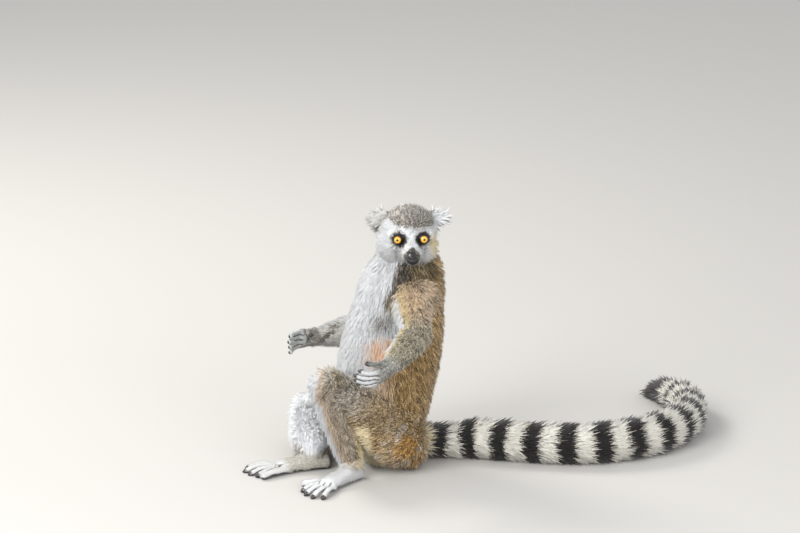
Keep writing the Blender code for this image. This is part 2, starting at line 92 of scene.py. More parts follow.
HEAD_CENTRE = vec(25, 1.5, 309)
HEAD_TURN, HEAD_DROP = math.radians(69), math.radians(1.5)
TURN = np.array(
    ((math.cos(HEAD_TURN), -math.sin(HEAD_TURN), 0), (math.sin(HEAD_TURN), math.cos(HEAD_TURN), 0), (0, 0, 1))
)
DROP = np.array(
    ((1, 0, 0), (0, math.cos(HEAD_DROP), -math.sin(HEAD_DROP)), (0, math.sin(HEAD_DROP), math.cos(HEAD_DROP)))
)
HEAD_AXES = TURN @ DROP  # columns: the head's left, back and up

# Stations of the trunk: x, y, z of the centre, half the width and half the depth.
TRUNK = np.array((
    (0, -2, 4, 27, 27), (0, -9, 22, 40, 37), (0, -18, 52, 47, 43), (0, -20, 86, 53, 53), (0, -19, 126, 56, 61.5),
    (0, -12, 161, 55, 61), (0, -6, 191, 52, 58), (0, -2, 216, 49, 54), (1, 3, 240, 46, 50), (3, 5, 260, 39, 44),
    (6, 4, 280, 32, 34), (10, 3, 297, 29, 31),
), float)
# Limbs: share of the length, and half the thickness across and from front to back.
THIGH = {
    "left": ((0.0, 30, 36), (0.25, 29, 36), (0.55, 24, 29), (0.85, 20, 22.5), (1.0, 19, 21)),
    "right": ((0.0, 32, 36), (0.25, 29, 34), (0.55, 26, 30), (0.85, 21.5, 24), (1.0, 18.5, 19)),
}
SHANK = {
    "left": ((0.0, 19, 21), (0.3, 17.5, 22), (0.6, 15, 19), (0.85, 12.5, 16), (1.0, 11.5, 14)),
    "right": ((0.0, 18, 18), (0.3, 22, 22), (0.6, 24, 25), (0.85, 22.5, 23.5), (1.0, 16, 16)),
}
UPPER_ARM = ((0.0, 24, 25), (0.35, 22, 23), (0.7, 18, 19), (1.0, 16, 17))
FOREARM = {
    "left": ((0.0, 16, 17), (0.3, 16, 17), (0.65, 14, 14.5), (0.9, 12, 12), (1.0, 10.5, 10.5)),
    "right": ((0.0, 19.5, 21), (0.3, 18.5, 20), (0.65, 15.5, 16), (0.9, 12, 12), (1.0, 10.5, 10.5)),
}
# Digits: how far the root is offset towards the thumb or big toe, the length, and the turn outwards in degrees.
FINGERS = {
    "left": ((8.6, 18, 10), (3.0, 25, 3), (-3.0, 26, -3), (-9.0, 21, -9)),
    "right": ((9.6, 24, 2), (3.4, 25, -1), (-3.0, 22, -4), (-9.2, 20, -8)),
}
TOES = {
    "left": ((8, 26, 14), (1, 33, 4), (-6.5, 37, -6), (-13, 32, -17)),
    "right": ((8, 31, 12), (1, 38, 4), (-6.5, 42, -4), (-13, 36, -12)),
}
BIG_TOE = {"left": (9, 27, 34, 22), "right": (9, 35, 22, 17)}  # and how far behind the others it starts

TAIL_LENGTH = 575
TAIL_TURNS = ((0, 0.14, 0.3, 0.78, 1.0), (0, 44, 40, -62, -96))
TAIL_RADII = ((0, 0.06, 0.14, 0.5, 0.85, 0.95, 1.0), (20, 20, 24, 25, 22, 17, 9))

# How deep the coat is over each part, from the solids' surface to the skin.
INSET = {"trunk": 5.2, "thigh": 4.2, "shank": 3.2, "upper_arm": 3.4, "forearm": 2.6, "tail": 8.5, "head": 2.6}

EYE_CENTRE = vec(15.9, -20.5, -1.2)
EYE_RADIUS = 7.4
LID_OPENING = 5.3
NOSE_PAD = vec(0, -55, -15.4)

# Least heights above the floor, and the height below which the skin that the model rests on grows no hair.
SKIN_CLEARANCE, NAIL_CLEARANCE, LOCK_CLEARANCE = 0.6, 0.3, 0.15
BALD_BELOW = 1.2

# ------------------------------------------------------------------ forms: arrays of points on a grid


def smooth_rows(stations, between=6):
    """Catmull-Rom: each span is the cubic that passes through its two stations with its neighbours' slopes."""
    p = np.vstack([stations[:1], stations, stations[-1:]])
    t = np.linspace(0, 1, between, endpoint=False)[None, :, None]
    a, b, c, d = (p[k : len(p) - 3 + k, None, :] for k in range(4))
    rows = 0.5 * (2 * b + (c - a) * t + (2 * a - 5 * b + 4 * c - d) * t**2 + (3 * b - a - 3 * c + d) * t**3)
    return np.vstack([rows.reshape(-1, stations.shape[1]), stations[-1:]])


def with_round_ends(rows, steps=5):
    """Half a ball beyond each end: the centre moves out by reach x sin and the ring shrinks by cos, to 86 degrees."""
    turn = np.radians(86) * np.arange(1, steps + 1) / steps

    def cap(end, inner):
        centres = end[:3] + unit(end[:3] - inner[:3]) * end[3:5].min() * np.sin(turn)[:, None]
        return np.hstack([centres, end[3:5] * np.cos(turn)[:, None]])

    return np.vstack([cap(rows[0], rows[1])[::-1], rows, cap(rows[-1], rows[-2])])


def grid_faces(rows, around):
    """Quads between neighbouring rings of a closed grid, and one face over each end ring."""
    ring = np.arange(around)
    start = (np.arange(rows - 1) * around)[:, None]
    low, low_next = start + ring, start + (ring + 1) % around
    quads = np.stack([low, low_next, low_next + around, low + around], axis=-1).reshape(-1, 4)
    return [*quads.tolist(), ring[::-1].tolist(), (ring + (rows - 1) * around).tolist()]


def oval_tube(stations, side, around=26):
    """Tube along a path: centre + across x half side x cos(turn) + front x half front x sin(turn)."""
    rows = with_round_ends(smooth_rows(np.array(stations, float)))
    centre = rows[:, :3]
    along = unit(np.gradient(centre, axis=0))
    across = unit(side - along * (along @ side)[:, None])
    front = np.cross(along, across)
    turn = 2 * np.pi * np.arange(around) / around
    ring = across[:, None] * (rows[:, 3, None] * np.cos(turn))[..., None]
    ring = ring + front[:, None] * (rows[:, 4, None] * np.sin(turn))[..., None]
    return (centre[:, None] + ring).reshape(-1, 3), grid_faces(len(rows), around)


def ball(centre, radii, around=26):
    """Ellipsoid: radii x (sin(fall) cos(turn), sin(fall) sin(turn), cos(fall)), with fall from pole to pole."""
    fall = np.linspace(0.03, np.pi - 0.03, around // 2)[:, None]
    turn = 2 * np.pi * np.arange(around)[None] / around
    grid = np.stack([np.sin(fall) * np.cos(turn), np.sin(fall) * np.sin(turn), np.cos(fall) + 0 * turn], axis=-1)
    return (centre + grid[::-1] * np.array(radii)).reshape(-1, 3), grid_faces(around // 2, around)


def bone_tube(start, end, thickness, inset, side):
    """A limb: the thickness table laid from joint to joint, less the coat's depth."""
    table = np.array(thickness)
    return oval_tube(np.hstack([start + (end - start) * table[:, :1], table[:, 1:] - inset]), side)


def digit(root, along, palm_side, length, radius, curl):
    """A finger or toe on an arc: the heading turns evenly from `along` towards the palm, with a pad at the tip."""
    steps = 6
    turn = np.radians(curl) * (np.arange(steps) + 0.5) / steps
    heading = along * np.cos(turn)[:, None] + palm_side * np.sin(turn)[:, None]
    points = np.vstack([root, root + np.cumsum(heading * length / steps, axis=0)])
    thick = radius * np.array((1.15, 1.0, 0.95, 1.02, 0.94, 1.0, 1.12))[:, None]
    return np.hstack([points, thick, thick * 0.95]), heading[-1]


def foot_axes(side):
    """The foot's heading, and the way to the big toe."""
    turn = math.radians(FOOT_TURN[side])
    inner = vec(-math.cos(turn), -math.sin(turn), 0) * (1 if side == "left" else -1)
    return vec(math.sin(turn), -math.cos(turn), 0), inner


def hand_axes(side):
    """The hand's heading, the way out of its back, and the way to the thumb."""
    along = unit(HAND_ALONG[side])
    back = unit(HAND_BACK[side] - along * (HAND_BACK[side] @ along))
    return along, back, np.cross(along, back) * (1 if side == "left" else -1)


def toe_paths(side):
    """(path, last heading, upwards) of each toe, the big toe last."""
    ahead, inner = foot_axes(side)
    paths = []
    toes = [(FOOT_LENGTH - 6, *toe, 5.5, 0.3, TOE_RADIUS, 42) for toe in TOES[side]]
    offset, length, fan, behind = BIG_TOE[side]
    toes.append((FOOT_LENGTH - behind, offset, length, fan, 6, 0.1, TOE_RADIUS + 1.2, 16))
    for reach, offset, length, fan, rise, slope, radius, curl in toes:
        turn = math.radians(fan)
        way = unit(ahead * math.cos(turn) + inner * math.sin(turn) + vec(0, 0, slope))
        root = HEEL[side] + ahead * reach + inner * offset + vec(0, 0, rise)
        path, heading = digit(root, way, vec(0, 0, -1), length + 6, radius, curl)
        paths.append((path, heading, vec(0, 0, 1)))
    return paths


def finger_paths(side):
    """(path, last heading, out of the back of the finger) of each finger, the thumb last."""
    along, back, thumb = hand_axes(side)
    paths = []
    fingers = [(24, *finger, 0, FINGER_RADIUS, FINGER_CURL[side]) for finger in FINGERS[side]]
    fingers.append((9, 8, THUMB_LENGTH[side], THUMB_FAN[side], -2, FINGER_RADIUS + 0.4, THUMB_CURL[side]))
    for reach, offset, length, fan, lift, radius, curl in fingers:
        turn = math.radians(fan)
        way = along * math.cos(turn) + thumb * math.sin(turn)
        root = WRIST[side] + along * reach + thumb * offset + back * lift
        path, heading = digit(root, way, -back, length + 6, radius, curl)
        paths.append((path, heading, unit(np.cross(np.cross(heading, back), heading))))
    return paths


DIGITS = {
    f"{side}_{part}": paths(side) for side in SIDES for part, paths in (("hand", finger_paths), ("foot", toe_paths))
}


def tail_line():
    """Centre line of the tail's core: the heading's table is followed step by step; rows of share, x, y, z, radius."""
    share = np.linspace(0, 1, 116)
    heading = np.radians(-4 + np.interp(share, *TAIL_TURNS))
    heading = np.convolve(np.pad(heading, 6, mode="edge"), np.ones(13) / 13, mode="valid")
    step = TAIL_LENGTH / 115
    x = np.concatenate([[0], np.cumsum(np.sin(heading[:-1]) * step)])
    y = 22 + np.concatenate([[0], np.cumsum(np.cos(heading[:-1]) * step)])
    radius = np.interp(share, *TAIL_RADII)
    rise = 8 * np.maximum(0, 1 - share / 0.08)
    return np.stack([share, x, y, radius - 1.2 + rise, radius], axis=1)


TAIL = tail_line()


def to_head(points):
    """Places along the head's own left, back and up, from its middle."""
    return (points - HEAD_CENTRE) @ HEAD_AXES


def from_head(points):
    """The other way round: the head's middle plus each place along its axes."""
    return HEAD_CENTRE + points @ HEAD_AXES.T


def head_forms():
    """Skull, forehead, nape, muzzle, nose pad, cheeks, brows, ears and throat."""
    inset = INSET["head"]
    muzzle = ((0, -8, -12, 21, 18), (0, -24, -13, 14.8, 14.2), (0, -38, -15.6, 11.0, 11.2), (0, -49, -18.0, 9.4, 8.8),
              (0, -54, -19.0, 7.4, 6.6))
    forms = [
        ball(vec(0, 5, 5), vec(32.5, 37, 28.5) - inset),
        ball(vec(0, -4, 8), vec(26, 27, 23) - inset * 0.7),
        ball(vec(-2, 22, -12), vec(31, 30, 34) - 4.5),
        oval_tube(muzzle, vec(1, 0, 0)),
        ball(NOSE_PAD, vec(5.8, 5.0, 4.6)),
    ]
    for side in (1, -1):
        cheek_out, cheek_width, cheek_up = (14.5, 13.5, -12) if side > 0 else (18.5, 17, -9)
        forms.append(ball(vec(side * cheek_out, 1, cheek_up), vec(cheek_width, 21, 18)))
        forms.append(ball(vec(side * 18.5, -13.5, 0), vec(10.3, 9, 11.4)))
        forms.append(ear_shell(side))
    forms.append(oval_tube(((0, -4, -18, 14, 14), (0, 12, -32, 19, 19), (-4, 22, -52, 25, 25)), vec(1, 0, 0)))
    return [(from_head(points), faces) for points, faces in forms]


def ear_shell(side):
    """A cupped leaf: s runs out from the head and t from rim to rim, back, up to 4 mm of cup, then forwards again."""
    rows, around = 18, 32
    s = np.linspace(0, 1, rows)[:, None]
    turn = 2 * np.pi * np.arange(around)[None] / around
    heights = (8.5, 9.0, 7.0, 4.8, 2.8, 0.8) if side > 0 else (10.0, 12.0, 11.0, 8.0, 4.6, 0.8)
    half = np.interp(s, (0, 0.2, 0.45, 0.7, 0.88, 1), heights)
    t, thick = np.cos(turn), np.sin(turn)
    cup = 4.2 * (1 - t**2) * np.sin(np.pi * np.clip(s * 0.9 + 0.1, 0, 1))
    out = 21 + 24 * s - 1.5 * t**2
    back = 11 + 6.5 * s + cup + thick * 1.25
    up = (14 if side > 0 else 12) + half * t + 0.5 * s
    grid = np.stack([side * (out + 0 * turn), back + 0 * out, up + 0 * out], axis=-1)
    return (grid[:, ::-1] if side > 0 else grid).reshape(-1, 3), grid_faces(rows, around)


def all_forms():
    """Trunk, haunches, breast, limbs, feet, hands, tail and head, each a closed form that overlaps its neighbours."""
    across = vec(1, 0, 0)
    inset = INSET["trunk"]
    forms = [
        oval_tube(TRUNK - np.array((0, 0, 0, inset, inset)), across, 40),
        ball(vec(21, -2, 33), vec(31, 24, 33) - inset),
        ball(vec(-21, -2, 33), vec(31, 24, 33) - inset),
        ball(vec(0, -27, 214), vec(32, 28, 44) - inset),
    ]
    for side in SIDES:
        out = across if side == "left" else vec(0.6, -0.75, 0.3)
        forms.append(ball(SHOULDER[side] + vec(0, 6, -3), vec(24, 29, 29) - inset))
        forms.append(bone_tube(HIP[side], KNEE[side], THIGH[side], INSET["thigh"], out))
        forms.append(bone_tube(KNEE[side], ANKLE[side], SHANK[side], INSET["shank"], out))
        forms.append(bone_tube(SHOULDER[side], ELBOW[side], UPPER_ARM, INSET["upper_arm"], vec(0, 1, 0)))
        forms.append(bone_tube(ELBOW[side], WRIST[side], FOREARM[side], INSET["forearm"], vec(0, 0, 1)))
        forms += foot_forms(side) + hand_forms(side)
    radius = np.maximum(TAIL[::5, 4:5] - INSET["tail"], 3.5)
    forms.append(oval_tube(np.hstack([TAIL[::5, 1:4], radius, radius]), vec(0, 0, 1)))
    return forms + head_forms()


def foot_forms(side):
    """Sole, heel up to the ankle, and the toes."""
    ahead, inner = foot_axes(side)

    def at(reach, height):
        return HEEL[side] + ahead * reach + vec(0, 0, height)

    sole = ((9, 8, 8.6, 8.8), (26, 10, 9.4, 10.6), (46, 8.4, 10.6, 8.8), (FOOT_LENGTH - 5, 7, 13.4, 7.2))
    sole = [(*at(reach, height), wide, deep) for reach, height, wide, deep in sole]
    forms = [oval_tube(sole, inner), oval_tube([(*ANKLE[side], 9, 10.5), (*at(24, 12), 9, 10)], inner)]
    return forms + [oval_tube(path, inner, 14) for path, _, _ in DIGITS[side + "_foot"]]


def hand_forms(side):
    """Palm and fingers."""
    along, _, thumb = hand_axes(side)
    wrist = WRIST[side]
    palm = [(*wrist, 8.6, 7.6), (*(wrist + along * 11), 10.2, 7.2), (*(wrist + along * 25), 11.8, 6)]
    return [oval_tube(palm, thumb)] + [oval_tube(path, thumb, 14) for path, _, _ in DIGITS[side + "_hand"]]


# ------------------------------------------------------------------ meshes


def mesh_object(name, mesh):
    """The object that puts a mesh into the scene."""
    obj = bpy.data.objects.new(name, mesh)
    bpy.context.scene.collection.objects.link(obj)
    return obj


def evaluated(obj):
    """The mesh that an object has once its modifiers are applied."""
    bpy.context.view_layer.update()
    return bpy.data.meshes.new_from_object(obj.evaluated_get(bpy.context.evaluated_depsgraph_get()))


def rows_of(items, key, width, kind=np.float32):
    """One value of every item of a mesh, a row for each."""
    flat = np.empty(len(items) * width, kind)
    items.foreach_get(key, flat)
    return flat.reshape(-1, width)


def points_of(mesh):
    """Place of each point, in mm."""
    return rows_of(mesh.vertices, "co", 3).astype(float) / MM


def triangles_of(mesh):
    """Numbers of each triangle's three points."""
    mesh.calc_loop_triangles()
    return rows_of(mesh.loop_triangles, "vertices", 3, np.int32)


def set_values(owner, name, kind, values, key):
    """Writes a value at every point into a new attribute."""
    made = owner.new(name, kind, "POINT")
    made.data.foreach_set(key, values.astype(np.float32).ravel())


def set_uv(mesh, name, uv_of_corner):
    """A UV map from a place for each corner, worked out from its vertex's number."""
    layer = mesh.uv_layers.new(name=name)
    uv = uv_of_corner(rows_of(mesh.loops, "vertex_index", 1, np.int32)[:, 0])
    layer.data.foreach_set("uv", uv.astype(np.float32).ravel())


def joined(name, forms):
    """One mesh of many forms, each an array of points (mm) and a list of faces."""
    verts, faces, start = [], [], 0
    for points, quads in forms:
        verts.append(points)
        faces += [[index + start for index in face] for face in quads]
        start += len(points)
    mesh = bpy.data.meshes.new(name)
    mesh.from_pydata((np.vstack(verts) * MM).tolist(), [], faces)
    return mesh


def outward(name, mesh):
    """The smooth piece of a closed mesh, turned right side out where its signed volume is negative."""
    mesh.shade_smooth()
    triangles, points = triangles_of(mesh), points_of(mesh)
    a, b, c = (points[triangles[:, k]] - points.mean(axis=0) for k in range(3))
    if (np.cross(a, b) * c).sum() < 0:
        mesh.flip_normals()
    return mesh_object(name, mesh)


def triangle_mesh(name, points, triangles):
    """A mesh from whole arrays of points (mm) and triangles."""
    mesh = bpy.data.meshes.new(name)
    mesh.vertices.add(len(points))
    mesh.vertices.foreach_set("co", (points * MM).astype(np.float32).ravel())
    mesh.loops.add(triangles.size)
    mesh.loops.foreach_set("vertex_index", triangles.astype(np.int32).ravel())
    mesh.polygons.add(len(triangles))
    mesh.polygons.foreach_set("loop_start", np.arange(0, triangles.size, 3, dtype=np.int32))
    mesh.update(calc_edges=True)
    mesh.validate()
    return mesh


# ------------------------------------------------------------------ the skin


def mouth_height(y):
    """Height of the mouth's line, which climbs a little towards its corners."""
    return NOSE_PAD[2] - 8.0 + 0.12 * (y + 54)


def from_nostril(x, z):
    """0 in the middle of a nostril, a comma that leans outwards, and 1 about 1.2 mm away from it."""
    below = z - NOSE_PAD[2]
    return (np.abs(x) - 3.2 - 0.35 * (below + 0.7)) ** 2 + ((below + 1.2) / 1.2) ** 2


# Depths of the face's fine forms. The lids stand out over the eyeball, and the skin lies behind it in their opening.
LID_STAND, EYE_HOLLOW = 1.0, 1.2
NOSTRIL_DEPTH, MOUTH_DEPTH, PHILTRUM_DEPTH = 2.4, 1.1, 0.8


def sculpt_face(points):
    """Lids drawn over the eyes, nostrils, the mouth's line and the groove under the nose."""
    h = to_head(points)
    near = (np.abs(h[:, 0]) < 34) & (h[:, 1] < 12) & (np.abs(h[:, 2]) < 40)
    q = h[near]
    for side in (1, -1):
        gaze = unit(vec(0.22 * side, -1, 0.06))
        rel = q - EYE_CENTRE * vec(side, 1, 1)
        depth = rel @ gaze
        off = rel - depth[:, None] * gaze
        # The opening is an oval, a little wider than high, with a corner drawn down towards the nose.
        sideways, upwards = off[:, 0] * side, off[:, 2]
        radius = np.hypot(sideways / 1.08, (upwards - 0.12 * sideways) / 0.98)
        from_gaze = distance(off, 0)
        front = (depth > -2) & (from_gaze < 15)
        globe = np.sqrt(np.clip(EYE_RADIUS**2 - from_gaze**2, 0, None))
        lid = globe + LID_STAND - 0.5 * smooth(LID_OPENING + 1.2, LID_OPENING, radius)
        lid = np.where(radius < LID_OPENING, globe - EYE_HOLLOW, lid)
        blend = np.where(front, 1 - smooth(LID_OPENING + 1.2, LID_OPENING + 5.5, radius), 0)
        q = q + gaze * ((lid - depth) * blend)[:, None]
    x, y, z = q.T
    below = z - NOSE_PAD[2]
    q[:, 1] += NOSTRIL_DEPTH * np.exp(-from_nostril(x, z) / 1.3) * (y < -50)
    line = mouth_height(y) - 1.0 * np.exp(-(x**2) / 8) * (y < -50)
    groove = np.exp(-((z - line) ** 2) / 0.9) * smooth(-20, -30, y)
    inward = unit(np.stack([x, 0 * y, 0.5 * (z + 18)], axis=1))
    q -= inward * (MOUTH_DEPTH * groove)[:, None]
    q[:, 1] += 1.0 * groove * (y < -52)
    philtrum = np.exp(-(x**2) / 0.5) * (y < -54) * smooth(-8, -6, below) * smooth(2.5, 0, below)
    q[:, 1] += PHILTRUM_DEPTH * philtrum
    points = points.copy()
    points[near] = from_head(q)
    return points


SKIN_TRIANGLES = 185_000
VOXEL = 1.15
THINNING_LEVELS = 10  # steps of fineness, from the face to the body


def fineness(points):
    """1 at the face, 0.6 at the hands, and 0 on the body."""
    fine = smooth(30, 10, distance(to_head(points), vec(0, -34, -8)))
    for side in SIDES:
        hand = WRIST[side] + unit(HAND_ALONG[side]) * 32
        fine = np.maximum(fine, 0.6 * smooth(52, 40, distance(points, hand)))
    return fine


def fused_skin():
    """All forms as one surface, sculpted at the face, and thinned out everywhere but at the head and hands."""
    forms = mesh_object("forms", joined("forms", all_forms()))
    remesh = forms.modifiers.new("fuse", "REMESH")
    remesh.mode = "VOXEL"
    remesh.voxel_size = VOXEL * MM
    soften = forms.modifiers.new("soften", "SMOOTH")
    soften.factor = 0.5
    soften.iterations = 5
    skin = mesh_object("skin", evaluated(forms))
    bpy.data.objects.remove(forms)
    points = sculpt_face(points_of(skin.data))
    points[:, 2] = np.maximum(points[:, 2], SKIN_CLEARANCE)
    skin.data.vertices.foreach_set("co", (points * MM).astype(np.float32).ravel())
    skin.data.update()
    level_of = (THINNING_LEVELS * (1 - fineness(points))).round().astype(int)
    group = skin.vertex_groups.new(name="thin_out")
    for level in range(1, THINNING_LEVELS + 1):
        group.add(np.nonzero(level_of == level)[0].tolist(), level / THINNING_LEVELS, "REPLACE")
    thin = skin.modifiers.new("facets", "DECIMATE")
    thin.ratio = SKIN_TRIANGLES / len(triangles_of(skin.data))
    thin.vertex_group = "thin_out"
    skin.data = evaluated(skin)
    skin.modifiers.clear()
    skin.vertex_groups.clear()
    skin.data.shade_smooth()
    return skin


# ------------------------------------------------------------------ parts of the body, and where a point lies on them


def body_parts():
    """Name, centre line and thickness along it, for each part that hair lies along."""
    head = np.array(((0, 18, -6), (0, -2, 0), (0, -26, -11), (0, -54, -16)), float)
    parts = {"trunk": (TRUNK[:, :3], TRUNK[:, 3:].mean(axis=1)), "head": (from_head(head), (33, 31, 15, 8))}
    for side in SIDES:
        ahead, along, heel = foot_axes(side)[0], hand_axes(side)[0], HEEL[side] + vec(0, 0, 9)
        parts[side + "_thigh"] = (np.array((HIP[side], KNEE[side])), (34, 20))
        parts[side + "_shank"] = (np.array((KNEE[side], ANKLE[side])), (19, 13))
        parts[side + "_foot"] = (np.array((heel, heel + ahead * FOOT_LENGTH, heel + ahead * 112)), (9, 12, 17))
        parts[side + "_upper_arm"] = (np.array((SHOULDER[side], ELBOW[side])), (25, 16))
        parts[side + "_forearm"] = (np.array((ELBOW[side], WRIST[side])), (16, 10))
        hand = np.array((WRIST[side], WRIST[side] + along * 25, WRIST[side] + along * 49))
        parts[side + "_hand"] = (hand, (9, 13, 14))
    parts["tail"] = (TAIL[::3, 1:4], TAIL[::3, 4])
    return parts


PARTS = body_parts()
NAMES = list(PARTS)
PART_BLEND = 2.6  # a part's say fades over about this far beyond its edge


def on_line(points, line, thickness):
    """Nearest place on a bent line: its share of the length, the gap outside the thickness, and the heading there."""
    spans = np.linalg.norm(np.diff(line, axis=0), axis=1)
    before = np.concatenate([[0], np.cumsum(spans)])
    share, gap = np.zeros(len(points)), np.full(len(points), np.inf)
    heading, nearest = np.zeros_like(points), np.zeros_like(points)
    for k, span in enumerate(spans):
        way = (line[k + 1] - line[k]) / span
        t = np.clip((points - line[k]) @ way, 0, span)
        place = line[k] + t[:, None] * way
        size = thickness[k] + (thickness[k + 1] - thickness[k]) * t / span
        outside = distance(points, place) - size
        closer = outside < gap
        gap = np.where(closer, outside, gap)
        share = np.where(closer, (before[k] + t) / before[-1], share)
        heading[closer] = way
        nearest[closer] = place[closer]
    return share, gap, heading, nearest


def ripples(points, size, seed):
    """Smooth noise from -1 to 1: seven sine waves with set random headings, about `size` mm from crest to crest."""
    waves = np.random.default_rng(seed)
    ways = unit(waves.normal(size=(7, 3))) * 2 * np.pi / size * waves.uniform(0.7, 1.5, 7)[:, None]
    return np.sin(points @ ways.T + waves.uniform(0, 6.3, 7)).sum(axis=1) / 3.2


def ripple_vectors(points, size, seed):
    """Three ripples of one size, as a vector for each point."""
    return np.stack([ripples(points, size, seed + k) for k in range(3)], axis=1)


class Places:
    """Where each point lies on the body: part weights, share along each part, head coordinates, the trunk's sides."""

    def __init__(self, points, normals):
        self.points, self.normals = points, normals
        shares, gaps, headings, centres = zip(*(on_line(points, *PARTS[name]) for name in NAMES))
        gaps = np.array(gaps)
        weights = np.exp(-(gaps - gaps.min(axis=0)) / PART_BLEND)
        self.weights = weights / weights.sum(axis=0)
        self.share = dict(zip(NAMES, shares))
        self.headings, self.centres = np.array(headings), np.array(centres)
        self.main = gaps.argmin(axis=0)
        self.head, self.head_normals = to_head(points), normals @ HEAD_AXES
        x, y, z = self.head.T
        self.ear = smooth(25, 28.5, np.abs(x)) * smooth(-4, 1, z) * smooth(0, 6, y) * smooth(34, 28, z)
        z = points[:, 2]
        middle = np.interp(z, TRUNK[:, 2], TRUNK[:, 1])
        self.frontness = -(points[:, 1] - middle) / np.interp(z, TRUNK[:, 2], TRUNK[:, 4])

    def weight(self, *names):
        """How far each point belongs to the named parts, from 0 to 1: the sum of their weights."""
        return sum(self.weights[NAMES.index(name)] for name in names)

    def both(self, name):
        """The same for the left and right parts of one name."""
        return self.weight("left_" + name, "right_" + name)

    def facing(self, *way):
        """1 where the surface faces the way, and -1 where it faces away from it."""
        return self.normals @ unit(vec(*way))


DROOP = vec(0, 0, -0.55)  # how much the coat hangs, against a heading of length 1


def hair_lie(at):
    """The way that hair points: down the trunk, away from the nose, outwards on the ears, and along limbs and tail."""
    points, normals = at.points, at.normals
    flare = smooth(60, 10, points[:, 2])[:, None]
    outwards = unit((points - at.centres[0]) * vec(1, 1, 0))
    ways = {"trunk": unit(vec(0, 0, -1) + 0 * points + outwards * (0.15 + 1.2 * flare))}
    from_nose = unit(at.head - vec(0, -62, -10)) + vec(0, 0.25, -0.1)
    cheek = smooth(-2, -16, at.head[:, 2])[:, None] * smooth(-34, -14, at.head[:, 1])[:, None]
    sideways = np.sign(at.head[:, :1]) * vec(1, 0, 0)
    ways["head"] = unit(from_nose + cheek * (sideways * 0.5 + DROOP)) @ HEAD_AXES.T
    lie = np.zeros_like(points)
    for k, name in enumerate(NAMES):
        way = ways.get(name, at.headings[k])
        if name.endswith(("thigh", "upper_arm")):
            way = unit(way + DROOP)
        lie += way * at.weights[k][:, None]
    ear = at.ear[:, None]
    tip_way = unit(sideways + vec(0, 0.15, 0) - DROOP * ((at.head[:, 2:] - 14) / 10)) @ HEAD_AXES.T
    lie = lie * (1 - ear) + tip_way * ear
    lie += 0.16 * ripple_vectors(points, 26, 40) + 0.13 * ripple_vectors(points, 9, 50)
    lie -= normals * (lie * normals).sum(axis=1, keepdims=True)
    return unit(lie)


# ------------------------------------------------------------------ markings


def hex_colour(text):
    """sRGB hex to linear."""
    value = np.array([int(text[k : k + 2], 16) / 255 for k in (1, 3, 5)])
    return np.where(value <= 0.04045, value / 12.92, ((value + 0.055) / 1.055) ** 2.4)


HEX = dict(
    white="#DADCDE", cream="#E4CF93", calf_cream="#F3E3BC", peach="#F2C29B", pink="#D3BBA3", shoulder="#D8BEA0",
    ochre="#BE8A34", back="#A28049", thigh="#A58D68", olive="#4A3E16", grey="#B0A996", knee="#B9B3AA", cap="#9A948C",
    ash="#727170", collar="#544E4A", streak="#382E27", muzzle="#262321", hand="#999B9A", foot="#CFCDC8",
    thumb="#7B8181", ring_black="#1D1917", ring_white="#E3E0D6", straw_tips="#DCCBA8", cap_tips="#D9D4CC",
    black_skin="#1B1919", pad_skin="#343536", lit_pad="#A9ACAA", dark_pad="#3A342D", nose_skin="#1F1F21",
    ear_skin="#8E8582",
)
COLOURS = {name: hex_colour(text) for name, text in HEX.items()}

# Where the white of the belly and chest begins: heights, and how far round to the front.
WHITE_EDGE = (
    (60, 107, 130, 150, 165, 206, 216, 226, 233, 244, 255, 264, 275),
    (0.5, 0.62, 0.5, 0.3, 0.18, 0.2, 0.45, 0.67, 0.66, 0.6, 0.54, 0.46, 0.42),
)
RING_PERIOD = 43.0
FIRST_RING = 6.0
BLACK_SHARE = 0.53
COLLAR_LINE = ((28, -11, 272), (31, -18, 255), (33, -22, 246), (36, -24, 237))
FOLD_SHADE_LINE = ((35, -25, 238), (33, -30, 231), (31, -34, 226))
SPUR_LINE = ((82, -47, 163), (80, -58, 156), (83, -72, 147))


class Paint:
    """Colours laid over one another, each through a mask from 0 to 1."""

    def __init__(self, colour):
        self.colour = colour

    def lay(self, name, mask, gain=1.0):
        """The colour below x (1 - mask) + the named colour x gain x mask."""
        mask = np.clip(mask, 0, 1)[:, None]
        self.colour = self.colour * (1 - mask) + COLOURS[name] * gain * mask


def folded(points):
    """The points, with the half on the negative side of x laid over the other."""
    return np.abs(points) * vec(1, 0, 0) + points * vec(0, 1, 1)


def eye_patch(head):
    """Distance from the dark patch's middle, counted in its own radii: round the eye, drawn down towards the nose."""
    round_eye = distance(folded(head), EYE_CENTRE + vec(-1.3, -5.0, 0.4)) / 9.6
    return np.minimum(round_eye, distance(folded(head), vec(10.0, -27, -6.6)) / 3.8)


def muzzle_dark(head):
    """1 on the black muzzle: all round its front, with a short point up the bridge."""
    x, y, z = folded(head).T
    start = -39 - 7 * smooth(-19, -12, z) + 0.9 * np.clip(5 - x, 0, None) * smooth(-17, -12, z)
    return smooth(start + 1.5, start - 2.5, y) * smooth(-25.0, -23.6, z)


def nose_pad(head, edge):
    """1 on the nose's leather, fading out at `edge`, a pair of distances from its middle."""
    return smooth(*edge, distance(head, NOSE_PAD + vec(0, 0.8, 0)))


def stroke(points, line, soft_edge):
    """1 near a bent line or its mirror image across the body, fading out between the edge's two distances."""
    line = np.array(line, float)
    return smooth(*soft_edge, on_line(folded(points), line, np.zeros(len(line)))[1])


